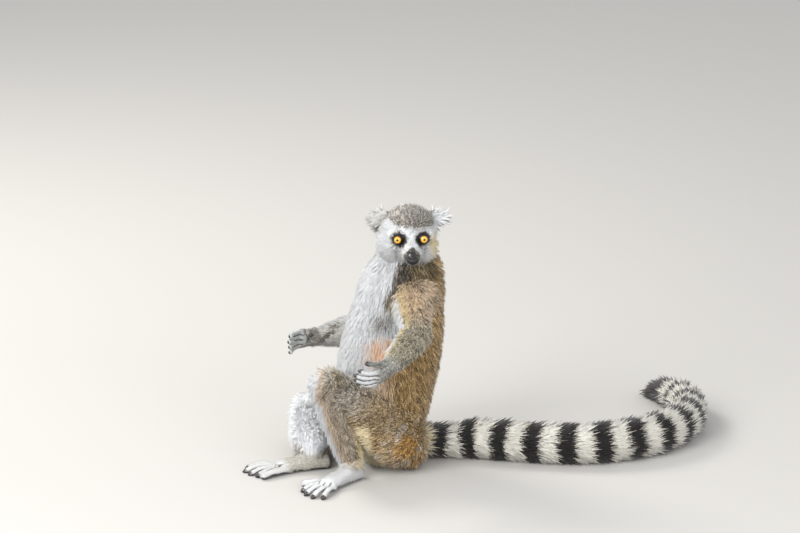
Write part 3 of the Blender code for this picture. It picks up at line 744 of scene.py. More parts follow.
def furrows(points, weight, part):
    """1 in the furrow between two neighbouring digits of a hand or foot, where both lie about equally near."""
    near = np.nonzero(weight > 0.3)[0]
    furrow = np.zeros(len(points))
    if len(near):
        found = [on_line(points[near], path[:, :3], path[:, 3]) for path, _, _ in DIGITS[part]]
        share, gap = np.array([row[0] for row in found]), np.array([row[1] for row in found])
        order = np.argsort(gap, axis=0)
        first, second = (np.take_along_axis(gap, order[k : k + 1], axis=0)[0] for k in (0, 1))
        past_root = smooth(0.02, 0.12, np.take_along_axis(share, order[:1], axis=0)[0])
        furrow[near] = smooth(1.9, 0.9, second - first) * smooth(4, 2, first) * past_root
    return furrow


def from_thumb(points, side):
    """Distance outside the thumb's middle line and radius."""
    return on_line(points, DIGITS[side + "_hand"][-1][0][:, :3], np.full(7, FINGER_RADIUS))[1]


def bare_skin(at):
    """1 where the skin is naked: nose pad, lid rims, palms, soles, heels and the tips of the digits."""
    x, y, z = at.head.T
    on_head = at.weight("head") > 0.5
    bare = np.where(on_head, nose_pad(at.head, (7.4, 6.4)), 0)
    eye = np.hypot((np.abs(x) - EYE_CENTRE[0]) / 1.08, z - EYE_CENTRE[2])
    lids = smooth(LID_OPENING + 1.9, LID_OPENING + 0.9, eye) * (y < -14)
    bare = np.maximum(bare, np.where(on_head, lids, 0))

    def digit_tips(part, edge):
        return smooth(*edge, np.min([distance(at.points, path[-1, :3]) for path, _, _ in DIGITS[part]], axis=0))

    for side in SIDES:
        along, back, _ = hand_axes(side)
        hollow = WRIST[side] + along * 31 - back * 13
        inwards = (at.normals * unit(hollow - at.points)).sum(axis=1)
        share = at.share[side + "_hand"]
        digits = smooth(0.5, 0.6, share)
        palm = smooth(0.3 - 0.55 * digits, 0.6 - 0.5 * digits, inwards) * smooth(0.12, 0.3, share)
        palm = np.maximum(palm, digit_tips(side + "_hand", (4.2, 3.2)))
        bare = np.maximum(bare, at.weight(side + "_hand") * palm)
        share = at.share[side + "_foot"]
        digits = smooth(0.66, 0.74, share)
        sole = smooth(-0.35 + 0.4 * digits, -0.65 + 0.4 * digits, at.normals[:, 2])
        sole = np.maximum(sole, digit_tips(side + "_foot", (4.4, 3.4)))
        heel = smooth(-0.25, -0.6, at.normals @ foot_axes(side)[0]) * smooth(0.12, 0.05, share)
        heel = heel * smooth(19, 14, at.points[:, 2])
        bare = np.maximum(bare, at.weight(side + "_foot") * np.maximum(sole, heel))
    return bare


def mark_trunk(lay, moved, speckle):
    """Brown back, dark collar over the shoulders, white throat, chest and belly, a peach patch on the flank; painted
    shade below the chin and under the arm, and a cream lightened as painted light low in front.
    """
    z, front = moved.points[:, 2], moved.frontness
    lay("shoulder", smooth(205, 232, z) * smooth(-0.5, -0.3, front))
    lay("streak", 0.28 * smooth(0.1, 0.9, speckle) * smooth(240, 200, z))
    # Painted shade: a dark olive at the back of the neck, below the chin.
    lay("olive", 0.9 * smooth(244, 256, z) * smooth(-0.85, -0.5, front))
    lay("ochre", 0.6 * smooth(60, 24, z) * smooth(0.3, -0.5, front))
    lay("shoulder", 0.7 * smooth(140, 120, z) * smooth(0.1, 0.3, front))
    edge = np.interp(z, *WHITE_EDGE)
    lay("collar", 0.9 * smooth(edge - 0.36, edge - 0.16, front) * smooth(236, 246, z))
    lay("grey", 0.9 * smooth(0.2, 0.34, front) * smooth(206, 212, z) * smooth(240, 232, z))
    haunch = smooth(30, 46, np.abs(moved.points[:, 0])) * smooth(92, 74, z)
    lay("pink", 0.8 * smooth(edge - 0.24, edge - 0.14, front) * smooth(140, 128, z) * (1 - haunch))
    lay("white", smooth(edge - 0.03, edge + 0.05, front) * (1 - haunch))
    lay("streak", 0.85 * smooth(0.07, 0.03, np.abs(front - edge + 0.03)) * smooth(222, 228, z) * smooth(250, 244, z))
    # Painted shade: ash grey on the chest's side, under the arm.
    armpit_shade = smooth(0.42, 0.5, front) * smooth(0.86, 0.66, front)
    lay("ash", 0.6 * armpit_shade * smooth(190, 200, z) * smooth(222, 210, z))
    glow = ripples(moved.points * vec(1, 1, 0.5), 12, 67)
    flank = smooth(0.38, 0.44, front) * smooth(0.86, 0.6, front + 0.08 * glow)
    peach = flank * smooth(148, 156, z) * smooth(190, 180, z)
    lay("peach", peach * (0.45 + 0.5 * smooth(-0.7, 0.2, glow)))
    lay("ochre", peach * 0.35 * smooth(0.3, 0.9, glow))
    # Painted light: a cream lighter than the hair's own, low on the trunk's front, which lies in shade.
    lay("calf_cream", 0.9 * smooth(56, 42, z) * smooth(0.5, 0.8, front))


def mark_legs(lay, moved, at):
    """White in front and inside, grizzled brown outside with dark streaks, cream down the calf's edge."""
    streaks = smooth(-0.1, 0.7, ripples(moved.points * vec(1, 1, 0.4), 9, 60))
    up = at.normals[:, 2]
    for side, out in (("left", 1), ("right", -1)):
        thigh, shank = moved.weight(side + "_thigh"), moved.weight(side + "_shank")
        forward = at.facing(-0.5 * out, -0.9, 0.1)
        share = moved.share[side + "_thigh"]
        under = smooth(-0.15, -0.5, up)
        white = smooth(0.2, 0.55, forward) * (1 - thigh * under * smooth(0.95, 0.8, share))
        lay("thigh", thigh * smooth(0.0, 0.3, share))
        lay("ochre", 0.4 * thigh * smooth(0.1, -0.5, up))
        lay("knee", thigh * 0.95 * smooth(0.4, 0.8, share) * (1 - under))
        lay("streak", thigh * streaks * (0.25 + 0.65 * smooth(0.4, 0.85, share)))
        cap = thigh * smooth(0.84, 0.95, share) + shank * smooth(0.14, 0.05, moved.share[side + "_shank"])
        lay("white", 0.75 * cap * smooth(-0.05, 0.3, at.facing(-0.45 * out, -0.6, 0.65)))
        lay("white", 0.4 * thigh * smooth(0.35, 0.1, share) * smooth(0.0, 0.8, ripples(moved.points, 17, 66)))
        lay("thigh", shank)
        lay("white", 0.3 * shank)
        lay("streak", shank * 0.5 * streaks)
        lay("cream", shank * smooth(0.35, 0.75, at.facing(0.15 * out, 0.95, 0.3)) * 0.85)
        if side == "right":
            white = np.maximum(white, smooth(-0.3, 0.05, at.facing(0.85, -0.4, 0.35)))
        lay("pink", 0.7 * (thigh * smooth(0.75, 0.9, share) + shank) * smooth(-0.2, 0.25, forward))
        # Painted light: the right leg's white is laid 1.3 times as bright as the left leg's.
        lay("white", (thigh + shank) * white, 1.0 if side == "left" else 1.3)
    lay("ochre", 0.9 * smooth(16.8, 11.2, distance(folded(moved.points), vec(59, -18, 42))))
    # A cream wedge between calf and thigh, narrow at its top, its cream lightened as painted light against the shade
    # there: u and v run along and up the side that faces left front.
    u, v = moved.points @ vec(0.4226, 0.9063, 0), moved.points @ vec(-0.2498, 0.1165, 0.9613)
    wedge = smooth(-56, -52, u) * smooth(-21.0, -25.0, u + 0.25 * v) * smooth(50, 44, v)
    wedge = wedge * smooth(4, 10, moved.points[:, 0])
    lay("calf_cream", 0.9 * wedge * moved.weight("left_thigh", "left_shank", "trunk"))
    ankle = moved.weight("right_shank") * smooth(0.72, 0.9, moved.share["right_shank"])
    lay("thigh", 0.6 * ankle * smooth(0.5, -0.1, up))


def mark_arms(lay, moved, at, speckle):
    """Tan shoulder, grey forearm, white inside, a cream rim between them as a painted highlight, dark collar lines with
    painted shade in the fold by the chest, painted light on the right forearm's top, and a tuft at the wrist.
    """
    for side, out in (("left", 1), ("right", -1)):
        arm, fore = moved.weight(side + "_upper_arm"), moved.weight(side + "_forearm")
        inner = at.facing(-0.35 * out, -0.85, -0.45)
        lay("shoulder", arm)
        lay("grey", arm * smooth(0.55, 0.95, moved.share[side + "_upper_arm"]))
        lay("grey", fore)
        lay("streak", (arm + fore) * 0.6 * smooth(0.1, 0.8, speckle))
        # Painted highlight: a cream rim where the arm turns from its grey outside to its white inside.
        lay("cream", (arm * 0.5 + fore) * 0.8 * smooth(-0.15, 0.15, inner))
        lay("white", arm * smooth(0.4, 0.65, inner) + fore * smooth(0.1, 0.35, inner))
    fore = moved.weight("right_forearm")
    # Painted light: white on the top of the right forearm.
    lay("white", fore * smooth(-0.3, 0.1, at.facing(0.8, -0.3, 0.5)))
    lay("grey", 0.35 * fore * smooth(0.35, 0.6, moved.share["right_forearm"]))
    lay("collar", 0.9 * stroke(moved.points, COLLAR_LINE, (5.5, 3.3)))
    # Painted shade: a near-black line in the fold between the arm and the chest.
    lay("ring_black", 0.85 * stroke(moved.points, FOLD_SHADE_LINE, (2.375, 1.425)))
    spur = moved.weight("right_forearm", "right_hand") * (moved.points[:, 0] < 0)
    lay("dark_pad", 0.9 * spur * stroke(moved.points, SPUR_LINE, (4.0, 2.4)))


def mark_hands_and_feet(lay, moved, at):
    """Pale grey above, whiter on the digits, with painted shade in the furrows between them, and a slate thumb; the
    left foot is laid whiter as painted light and the right foot greyer as painted shade.
    """
    lay("hand", moved.both("hand"))
    lay("foot", moved.both("foot"))
    # Painted light on the left foot, laid whiter, and painted shade on the right foot, laid greyer.
    lay("white", 0.6 * moved.weight("left_foot"), 1.1)
    lay("grey", 0.35 * moved.weight("right_foot"))
    for part in ("left_foot", "right_foot", "left_hand", "right_hand"):
        weight = moved.weight(part)
        lay("white", 0.6 * weight * smooth(0.5, 0.6, moved.share[part]))
        # Painted shade in the furrows between digits.
        lay("collar", 0.9 * furrows(at.points, weight, part), 0.5)
    lay("thumb", moved.weight("left_hand") * smooth(2.5, 1.2, from_thumb(moved.points, "left")))


def mark_head(lay, moved, at):
    """White face, cheeks and throat, grey cap down to the nape, black eye patches and muzzle, white ears; painted light
    on the face's left side and on the ears, painted shade on the right ear and in its hollow.
    """
    on_head, head = moved.weight("head"), moved.head
    hx, hy, hz = folded(head).T
    lay("white", on_head)
    cap_front = smooth(11.5, 15.5, hz - 0.002 * hx**2 + 0.12 * head[:, 0]) * smooth(31, 26, hx)
    nape = smooth(14, 24, hy - 0.3 * hz) * smooth(-34, -22, hz)
    lay("cap", on_head * np.maximum(cap_front, nape * smooth(34, 26, hx)))
    lay("collar", on_head * 0.5 * cap_front * smooth(23, 15, hz))
    lay("grey", on_head * 0.45 * smooth(4, 18, hy) * (1 - moved.ear))
    # The short hair between the patches and under the eyes is ashy.
    lay("grey", on_head * 0.3 * smooth(-14, -24, hy) * smooth(0.0, 0.7, ripples(moved.points, 5, 77)))
    under_eye = smooth(13, 7, distance(folded(head), vec(15, -27, -14)))
    lay("ash", on_head * under_eye * (0.15 + 0.65 * smooth(0.1, 0.7, ripples(moved.points, 4.5, 79))))
    # Painted light: a warm cream on the left side of the face and cheek, where the light falls.
    lay("cream", on_head * 0.85 * smooth(18, 26, head[:, 0]) * smooth(6, -4, hz))
    tear_line = stroke(head, ((9.5, -27, -6), (6.5, -44, -13)), (3.6, 1.2))
    lay("ash", on_head * 0.55 * tear_line)
    patch = eye_patch(head)
    lay("ash", on_head * 0.45 * smooth(1.5, 1.1, patch))
    lay("ring_black", on_head * smooth(1.1, 0.94, patch))
    dark = muzzle_dark(head)
    lay("muzzle", on_head * dark)
    whisker_bed = smooth(2, 4.5, hx + 0.5 * (hz + 14)) * smooth(0.0, 0.7, ripples(moved.points, 3.2, 78))
    lay("grey", on_head * 0.75 * dark * whisker_bed * smooth(-57, -53, hy))
    lay("thigh", on_head * 0.9 * smooth(-23.4, -24.4, hz) * smooth(-30, -40, hy), 0.75)
    from_mouth = np.abs(at.head[:, 2] - mouth_height(at.head[:, 1]) - 0.2)
    lay("ring_black", on_head * 0.9 * smooth(0.9, 0.4, from_mouth) * smooth(-32, -40, hy))
    # Painted light: the ears' white is laid 1.3 times as bright.
    lay("white", moved.ear, 1.3)
    # Painted shade: grey on the right ear.
    lay("grey", 0.45 * moved.ear * smooth(5, -5, head[:, 0]))
    # Painted shade in the hollow of the right ear.
    hollow = smooth(0.0, 0.4, at.head_normals @ vec(0, -1, -0.3)) * smooth(10, 6, hz) * smooth(39, 33, hx)
    lay("collar", moved.ear * 0.75 * hollow * smooth(10, -10, head[:, 0]))


def mark_tail(paint, moved):
    """Cream-grey root, then rings by arc length, and a black tip."""
    arc = moved.share["tail"] * TAIL_LENGTH
    phase = ((arc - FIRST_RING) / RING_PERIOD) % 1
    black = smooth(0, 0.07, phase) * smooth(BLACK_SHARE + 0.05, BLACK_SHARE - 0.03, phase) * smooth(2, 8, arc)
    black = np.maximum(black, smooth(TAIL_LENGTH - 34, TAIL_LENGTH - 26, arc))[:, None]
    ring = COLOURS["ring_white"] * (1 - black) + COLOURS["ring_black"] * black
    root = smooth(9, 2, arc)[:, None]
    ring = ring * (1 - root) + (0.5 * COLOURS["cream"] + 0.5 * COLOURS["grey"]) * root
    tail = smooth(0.35, 0.6, moved.weight("tail"))[:, None]
    paint.colour = paint.colour * (1 - tail) + ring * tail


def markings(at, ragged):
    """Colour of the coat. Points moved by `ragged` from the roots decide the borders, so that they interlock."""
    moved = Places(at.points + ragged, at.normals)
    paint = Paint(np.tile(COLOURS["back"], (len(at.points), 1)))
    speckle = ripples(moved.points * vec(1, 1, 0.5), 8, 65)
    mark_trunk(paint.lay, moved, speckle)
    mark_legs(paint.lay, moved, at)
    mark_arms(paint.lay, moved, at, speckle)
    mark_hands_and_feet(paint.lay, moved, at)
    mark_head(paint.lay, moved, at)
    mark_tail(paint, moved)
    return paint.colour


def inside_ear(at):
    """1 in the ear's cup."""
    return at.ear * smooth(-0.1, 0.4, at.head_normals @ vec(0, -1, 0))


def skin_colours(at):
    """The markings, darkened partly as underfur is and partly as painted shade between the locks, with naked skin over
    them, painted shade in the nostrils and furrows, and painted light and shade on the open palm.
    """
    colour = markings(at, 1.2 * ripple_vectors(at.points, 6, 80))
    # Underfur's own darker tone, and painted shade seen in the gaps between the locks.
    paint = Paint(colour * np.interp(colour.mean(axis=1), (0.1, 0.7), (0.6, 1.0))[:, None])
    paint.lay("ear_skin", inside_ear(at) * 0.5)
    bare = bare_skin(at)
    paint.lay("black_skin", bare)
    paint.lay("pad_skin", bare * (at.both("hand") + at.both("foot")))
    nose = nose_pad(at.head, (7.6, 6.8))
    paint.lay("nose_skin", nose)
    # Painted shade inside the nostrils.
    nostril = smooth(2.6, 1.4, from_nostril(at.head[:, 0], at.head[:, 2]))
    paint.lay("black_skin", nose * nostril * smooth(-54, -56, at.head[:, 1]), 0.3)
    # The palm that is held open has painted light on its fingers' pads, laid pale, and painted shade on its thumb and
    # heel, laid dark.
    along, back, _ = hand_axes("right")
    open_palm = bare * at.weight("right_hand")
    paint.lay("lit_pad", open_palm * smooth(0.4, 0.5, at.share["right_hand"]))
    heel = distance(at.points, WRIST["right"] + along * 10 - back * 7 - vec(0, 0, 5))
    on_thumb = smooth(2.2, 1.0, from_thumb(at.points, "right"))
    paint.lay("dark_pad", open_palm * np.maximum(on_thumb, smooth(11, 8, heel)))
    # Painted shade in the furrows between digits.
    for part in DIGITS:
        paint.lay("collar", 0.9 * furrows(at.points, at.weight(part), part), 0.35)
    return paint.colour, bare


# ------------------------------------------------------------------ locks of hair

# Over each part: the hair's length, and how far its tip stands off the skin.
HAIR = {
    "trunk": (10, 5.6), "head": (6.8, 2.9), "thigh": (9.5, 4.6), "shank": (8.5, 3.6), "foot": (5, 1.1),
    "upper_arm": (9, 3.8), "forearm": (7.5, 3.0), "hand": (3.8, 0.8), "tail": (16, 9.2),
}
FLYAWAY_SHARE = 0.18
WAIST = 0.38  # where along its length a lock is widest, and bends
ALONG = np.array((0, WAIST, WAIST, 1))  # how far along it each of a lock's four points lies
LOCK_FACES = np.array(((0, 2, 1), (2, 3, 1), (0, 1, 3), (0, 3, 2)))  # two above, at either side of the bend, two below
ROOT_DEPTH = 0.5  # how far under the skin a lock starts
BAKE_PATCH = 0.003  # width of a lock's patch on its piece's bake map


def lock_sizes(at):
    """Length, width, how far the tip stands off the skin, and how unevenly the locks point, for each root."""
    tail, head = at.weight("tail"), at.weight("head")
    chest = at.weight("trunk") * smooth(0.2, 0.7, at.frontness)
    # The face's hair is shortest on the snout and grows towards the cheeks, the cap and the ears.
    snout = head * smooth(56, 14, distance(at.head, vec(0, -58, -14)))
    cheeks = head * smooth(-4, -16, at.head[:, 2]) * smooth(-26, -8, at.head[:, 1])
    crown = head * smooth(9, 15, at.head[:, 2]) * (1 - at.ear)
    changes = (
        (chest, (0, 0), (5, -1.7)),
        (snout, (0.8, 0.85), (0, 0)),
        (cheeks, (0, 0), (4.5, 2.0)),
        (at.ear, (1, 1), (12.5, 3.4)),
        *((at.weight(part) * smooth(0.42, 0.62, at.share[part]), (0.5, 0.6), (0, 0)) for part in DIGITS),
        (head * smooth(2.3, 1.3, eye_patch(at.head)), (0.68, 0.75), (0, 0)),
        (crown, (0.3, 0.1), (0, 0)),
    )
    size = np.array([HAIR[name.replace("left_", "").replace("right_", "")] for name in NAMES]).T @ at.weights
    for where, loss, gain in changes:
        size = size * (1 - np.outer(loss, where)) + np.outer(gain, where)
    long, tip = size
    width = (0.42 + 0.062 * long) * (1 - 0.32 * chest - 0.2 * tail)
    return long, width, tip, 0.18 + 0.02 * chest + 0.1 * tail + 0.2 * cheeks + 0.22 * at.ear


def scatter(points, normals, triangles, density, count):
    """Roots spread evenly by area x density: evenly spaced draws, each jittered, through the summed weights."""
    corner = points[triangles]
    area = 0.5 * np.linalg.norm(np.cross(corner[:, 1] - corner[:, 0], corner[:, 2] - corner[:, 0]), axis=1)
    total = np.cumsum(area * density[triangles].mean(axis=1))
    draws = (np.arange(count) + rng.uniform(0, 1, count)) / count * total[-1]
    chosen = np.minimum(np.searchsorted(total, draws), len(triangles) - 1)
    a, b = rng.uniform(0, 1, (2, count))
    a, b = np.where(a + b > 1, 1 - a, a), np.where(a + b > 1, 1 - b, b)
    mix = np.stack([1 - a - b, a, b], axis=1)[..., None]
    return (corner[chosen] * mix).sum(axis=1), unit((normals[triangles[chosen]] * mix).sum(axis=1))


def atlas_place(at, names):
    """Root's place on an unwrap: a strip for each part, across it by the turn about the part's line, up by share."""
    place = np.zeros((len(at.points), 2))
    for k, name in enumerate(NAMES):
        mine = at.main == k
        row = names.index(name) if name in names else 0
        way = at.headings[k][mine]
        rel = at.points[mine] - at.centres[k][mine]
        first = unit(np.cross(way, vec(0.31, 0.52, 0.79)))
        second = np.cross(way, first)
        turn = np.arctan2((rel * second).sum(axis=1), (rel * first).sum(axis=1)) / (2 * np.pi) + 0.5
        place[mine, 0] = 0.01 + 0.98 * turn
        place[mine, 1] = (row + 0.04 + 0.92 * at.share[name][mine]) / len(names)
    return place


def lock_points(at, lie, long, width, tip):
    """Slim locks: from a root under the skin up to a widest pair of points, where they bend to lie along the body.

    At share t along a lock the middle is root + lie x length x t + normal x (rise x t (2 - t) - root's depth).
    """
    across = np.cross(at.normals, lie) * (0.5 * width)[:, None]

    def middle(t):
        return at.points + lie * (long * t)[:, None] + at.normals * (tip * t * (2 - t) - ROOT_DEPTH)[:, None]

    waist = middle(WAIST) + at.normals * (0.25 * width)[:, None]
    points = np.stack([middle(0), waist + across, waist - across, middle(1)], axis=1)
    points[..., 2] = np.maximum(points[..., 2], LOCK_CLEARANCE)
    return points


def lock_shapes(at):
    """The points of each lock, in clumps, with fine hairs that stand away from the rest, and the way that it lies."""
    count = len(at.points)
    long, width, tip, spread = lock_sizes(at)
    lie = hair_lie(at)
    turn = (rng.normal(0, 1, count) * spread)[:, None]
    lie = lie * np.cos(turn) + np.cross(at.normals, lie) * np.sin(turn)
    even = smooth(0.1, 0.4, at.frontness) * at.weight("trunk") + at.weight("right_thigh", "right_shank")
    clump = ripples(at.points, 7, 90) * (1 - 0.7 * even)
    long = long * rng.uniform(0.72, 1.15, count) * (1 + 0.12 * clump)
    tip = tip * rng.uniform(0.45, 1.12, count) * (1 + 0.1 * clump)
    width = width * rng.uniform(0.7, 1.2, count)
    stray = rng.uniform(0, 1, count) < FLYAWAY_SHARE
    tip = np.where(stray, np.minimum(tip * 2.2 + 0.6, tip + 7 - 2.5 * at.weight("tail")), tip)
    return lock_points(at, lie, long * np.where(stray, 1.15, 1), width * np.where(stray, 0.55, 1), tip), lie


def lock_colours(at, lie):
    """Colour of each lock's points, with the grizzling's strength as its alpha, and how light the lock is."""
    count = len(at.points)
    colour = markings(at, rng.normal(0, 0.9, (count, 3)) + 1.2 * ripple_vectors(at.points, 6, 80))
    light = colour.mean(axis=1)
    on_head = at.weight("head")
    # Grizzling: neighbouring locks are darker or straw-coloured in short bands that run across the lie.
    along_lie = at.points - lie * (at.points * lie).sum(axis=1)[:, None] * 0.4
    bands = ripples(along_lie, 3.0, 95) * (1 - on_head) + ripples(at.points, 2.3, 96) * on_head
    speck = 0.5 * rng.normal(0, 1, count) + 1.7 * bands
    plain = np.interp(light, (0.02, 0.1, 0.35, 0.62), (0.25, 0.72, 0.62, 0.04)) + 0.13 * on_head
    crown = on_head * smooth(10, 14, at.head[:, 2])
    grizzle = speck * plain * (1 + 0.3 * crown) - 0.2 * plain**2
    colour = colour * np.exp(1.2 * np.minimum(grizzle, 0))[:, None]
    straw = (np.clip(0.6 * grizzle, 0, 0.75) * smooth(0.03, 0.12, light))[:, None]
    own = 0.75 * colour / colour.max(axis=1, keepdims=True)
    bleached = COLOURS["straw_tips"] * (1 - on_head)[:, None] + COLOURS["cap_tips"] * on_head[:, None]
    tips = 0.45 * own + 0.55 * bleached
    colour = colour * (1 - straw) + tips * straw
    # Along a lock: dark at its root, partly the hair's own darker base and partly painted shade where locks cover one
    # another, light at its end, with a pale tip on some.
    pale = np.interp(light, (0.03, 0.12, 0.35, 0.7), (0.0, 0.25, 0.25, 0.0)) * rng.uniform(0, 1.6, count)
    root_shade = np.interp(light, (0.1, 0.55), (0.35, 0.93))[:, None]
    shade = (root_shade + (1.12 - root_shade) * smooth(0, 0.9, ALONG))[..., None]
    tipped = (smooth(0.3, 0.9, ALONG) * pale[:, None])[..., None]
    colours = colour[:, None] * shade * (1 - tipped) + tips[:, None] * tipped
    strength = np.clip(plain / 0.62, 0, 1.15)[:, None, None] + 0 * tipped
    return np.concatenate([colours, strength], axis=2), light


def coat_piece(name, surface, density, count, names):
    """One piece of the coat: its roots and their places, the locks on them, their colours, bake map and normals."""
    at = Places(*scatter(*surface, density, count))
    points, lie = lock_shapes(at)
    triangles = LOCK_FACES + (np.arange(count) * 4)[:, None, None]
    mesh = triangle_mesh(name, points.reshape(-1, 3), triangles.reshape(-1, 3))
    colours, light = lock_colours(at, lie)
    set_values(mesh.color_attributes, "coat_colour", "FLOAT_COLOR", colours, "color")
    patch = np.stack([(0, -0.5, 0.5, 0), ALONG - 0.5], axis=1) * BAKE_PATCH
    uv = (atlas_place(at, names)[:, None] + patch).reshape(-1, 2)
    set_uv(mesh, "OFBake", lambda corner: uv[corner])
    mesh.shade_smooth()
    # Hair scatters light into itself, so a lock is lit as the body under it is, a little rounded across.
    side = np.cross(at.normals, lie)[:, None] * np.array((0, 1, -1, 0))[:, None]
    rounding = (np.interp(light, (0.3, 0.62), (0.5, 0.15)) + 0.5 * at.ear)[:, None, None]
    end = lie[:, None] * np.array((-1, 0, 0, 1))[:, None]
    lit = unit(at.normals[:, None] + rounding * side + 0.25 * end)
    set_values(mesh.attributes, "custom_normal", "FLOAT_VECTOR", lit, "vector")
    return mesh_object(name, mesh)


# ------------------------------------------------------------------ materials


def new_material(name):
    """An empty material, and the function that adds a node to it."""
    material = bpy.data.materials.new(name)
    material.use_nodes = True
    tree = material.node_tree
    tree.nodes.clear()

    def add(kind, inputs=(), **settings):
        """A node with its settings. An input is linked where its value is a node or socket, and otherwise set."""
        made = tree.nodes.new("ShaderNode" + kind)
        for key, value in settings.items():
            setattr(made, key, value)
        for key, value in dict(inputs).items():
            if isinstance(value, bpy.types.Node):
                value = value.outputs[0]
            if isinstance(value, bpy.types.NodeSocket):
                tree.links.new(value, made.inputs[key])
            else:
                made.inputs[key].default_value = value
        return made

    return material, add


def underfur_material():
    """Dense underfur over skin: matt, finely streaked; naked pads are black, leathery and slightly glossy."""
    material, add = new_material("underfur_and_skin")
    place = add("TexCoord").outputs["Object"]
    colour = add("Attribute", attribute_name="coat_colour")
    bare = add("Attribute", attribute_name="bare").outputs["Fac"]
    # Underfur lies in strands about 0.8 mm apart; leathery pads have creases of about 0.5 mm.
    strands = add("TexNoise", {"Vector": place, "Scale": 900.0, "Detail": 3.0, "Roughness": 0.6})
    mottle = add("TexNoise", {"Vector": place, "Scale": 120.0, "Detail": 4.0})
    spread = add("MapRange", {"Value": strands, "To Min": 0.7, "To Max": 1.3})
    patch = add("MapRange", {"Value": mottle, "To Min": 0.85, "To Max": 1.15})
    both = add("Math", {0: spread, 1: patch}, operation="MULTIPLY")
    shaded = add("VectorMath", {0: colour, "Scale": both}, operation="SCALE")
    rough = add("MapRange", {"Value": bare, "To Min": 0.85, "To Max": 0.28})
    bump = add("Bump", {"Height": strands, "Strength": 0.5, "Distance": 0.0005})
    skin = {"Base Color": shaded, "Roughness": rough, "Normal": bump, "IOR": 1.45, "Specular IOR Level": 0.5}
    add("OutputMaterial", {"Surface": add("BsdfPrincipled", skin)})
    return material


def guard_hair_material():
    """Guard hair, keratin: soft sheen along each lock, darker at the root, partly as painted shade, with fine bands of
    light and dark.
    """
    material, add = new_material("guard_hair")
    place = add("TexCoord").outputs["Object"]
    painted = add("Attribute", attribute_name="coat_colour")
    # Grizzling: pale and dark bands 1 to 2 mm long on neighbouring hairs, as strong as the attribute's alpha says.
    grizzle = add("TexNoise", {"Vector": place, "Scale": 560.0, "Detail": 2.0, "Roughness": 0.6})
    span = {"From Min": 0.36, "From Max": 0.64, "To Min": -0.5, "To Max": 0.62}
    band = add("MapRange", {"Value": grizzle, **span})
    scale = add("Math", {0: band, 1: painted.outputs["Alpha"], 2: 1.0}, operation="MULTIPLY_ADD")
    shaded = add("VectorMath", {0: painted, "Scale": scale}, operation="SCALE")
    bump = add("Bump", {"Height": grizzle, "Strength": 0.25, "Distance": 0.0003})
    hair = {"Base Color": shaded, "Roughness": 0.62, "Normal": bump, "IOR": 1.55, "Specular IOR Level": 0.3}
    sheen = {"Sheen Weight": 0.25, "Sheen Roughness": 0.5}
    add("OutputMaterial", {"Surface": add("BsdfPrincipled", {**hair, **sheen})})
    return material


# Share of the way from the pupil's middle to the back of the eye, and the colour there.
IRIS = (
    (0.0, "#050404"), (0.045, "#050404"), (0.056, "#8A5A18"), (0.085, "#E9BE4A"), (0.14, "#E3AC36"),
    (0.185, "#C98A22"), (0.208, "#6A3E12"), (0.226, "#120B08"), (1.0, "#120B08"),
)


def eye_material():
    """Living eye: amber iris with radial fibres and a dark rim, small round pupil, wet clear cornea over it."""
    material, add = new_material("amber_eye")
    globe = add("UVMap", uv_map="globe")
    fibre_place = add("Mapping", {"Vector": globe, "Scale": (60.0, 9.0, 1.0)})
    fibres = add("TexNoise", {"Vector": fibre_place, "Scale": 1.0, "Detail": 4.0})
    ramp = add("ValToRGB", {"Fac": add("SeparateXYZ", {0: globe}).outputs["Y"]})
    elements = ramp.color_ramp.elements
    while len(elements) < len(IRIS):
        elements.new(0.5)
    for element, (position, text) in zip(elements, IRIS):
        element.position = position
        element.color = (*hex_colour(text), 1)
    streak = add("MapRange", {"Value": fibres, "To Min": 0.6, "To Max": 1.4})
    shaded = add("VectorMath", {0: ramp, "Scale": streak}, operation="SCALE")
    cornea = {"Coat Weight": 1.0, "Coat Roughness": 0.02, "Coat IOR": 1.376}
    eye = {"Base Color": shaded, "Roughness": 0.2, "IOR": 1.376, **cornea}
    add("OutputMaterial", {"Surface": add("BsdfPrincipled", eye)})
    return material


def nail_material():
    """Keratin nail: dark horn, smooth, with faint lengthwise ridges about 0.4 mm apart."""
    material, add = new_material("dark_nail")
    place = add("TexCoord").outputs["Object"]
    ridges = add("TexNoise", {"Vector": place, "Scale": 1200.0, "Detail": 2.0})
    tint = add("MapRange", {"Value": ridges, "To Min": 0.6, "To Max": 1.4})
    shaded = add("VectorMath", {0: tuple(hex_colour("#332C28")), "Scale": tint}, operation="SCALE")
    bump = add("Bump", {"Height": ridges, "Strength": 0.2, "Distance": 0.0002})
    horn = {"Base Color": shaded, "Roughness": 0.38, "IOR": 1.55, "Normal": bump}
    add("OutputMaterial", {"Surface": add("BsdfPrincipled", horn)})
    return material


def floor_material():
    """Seamless pale studio paper, matt, with a barely visible tooth."""
    material, add = new_material("studio_paper")
    place = add("TexCoord").outputs["Object"]
    tooth = add("TexNoise", {"Vector": place, "Scale": 400.0, "Detail": 2.0})
    bump = add("Bump", {"Height": tooth, "Strength": 0.05, "Distance": 0.0005})
    paper = {"Base Color": (*hex_colour("#BEBCB8"), 1), "Roughness": 0.9, "Normal": bump}
    add("OutputMaterial", {"Surface": add("BsdfPrincipled", paper)})
    return material


# ------------------------------------------------------------------ pieces


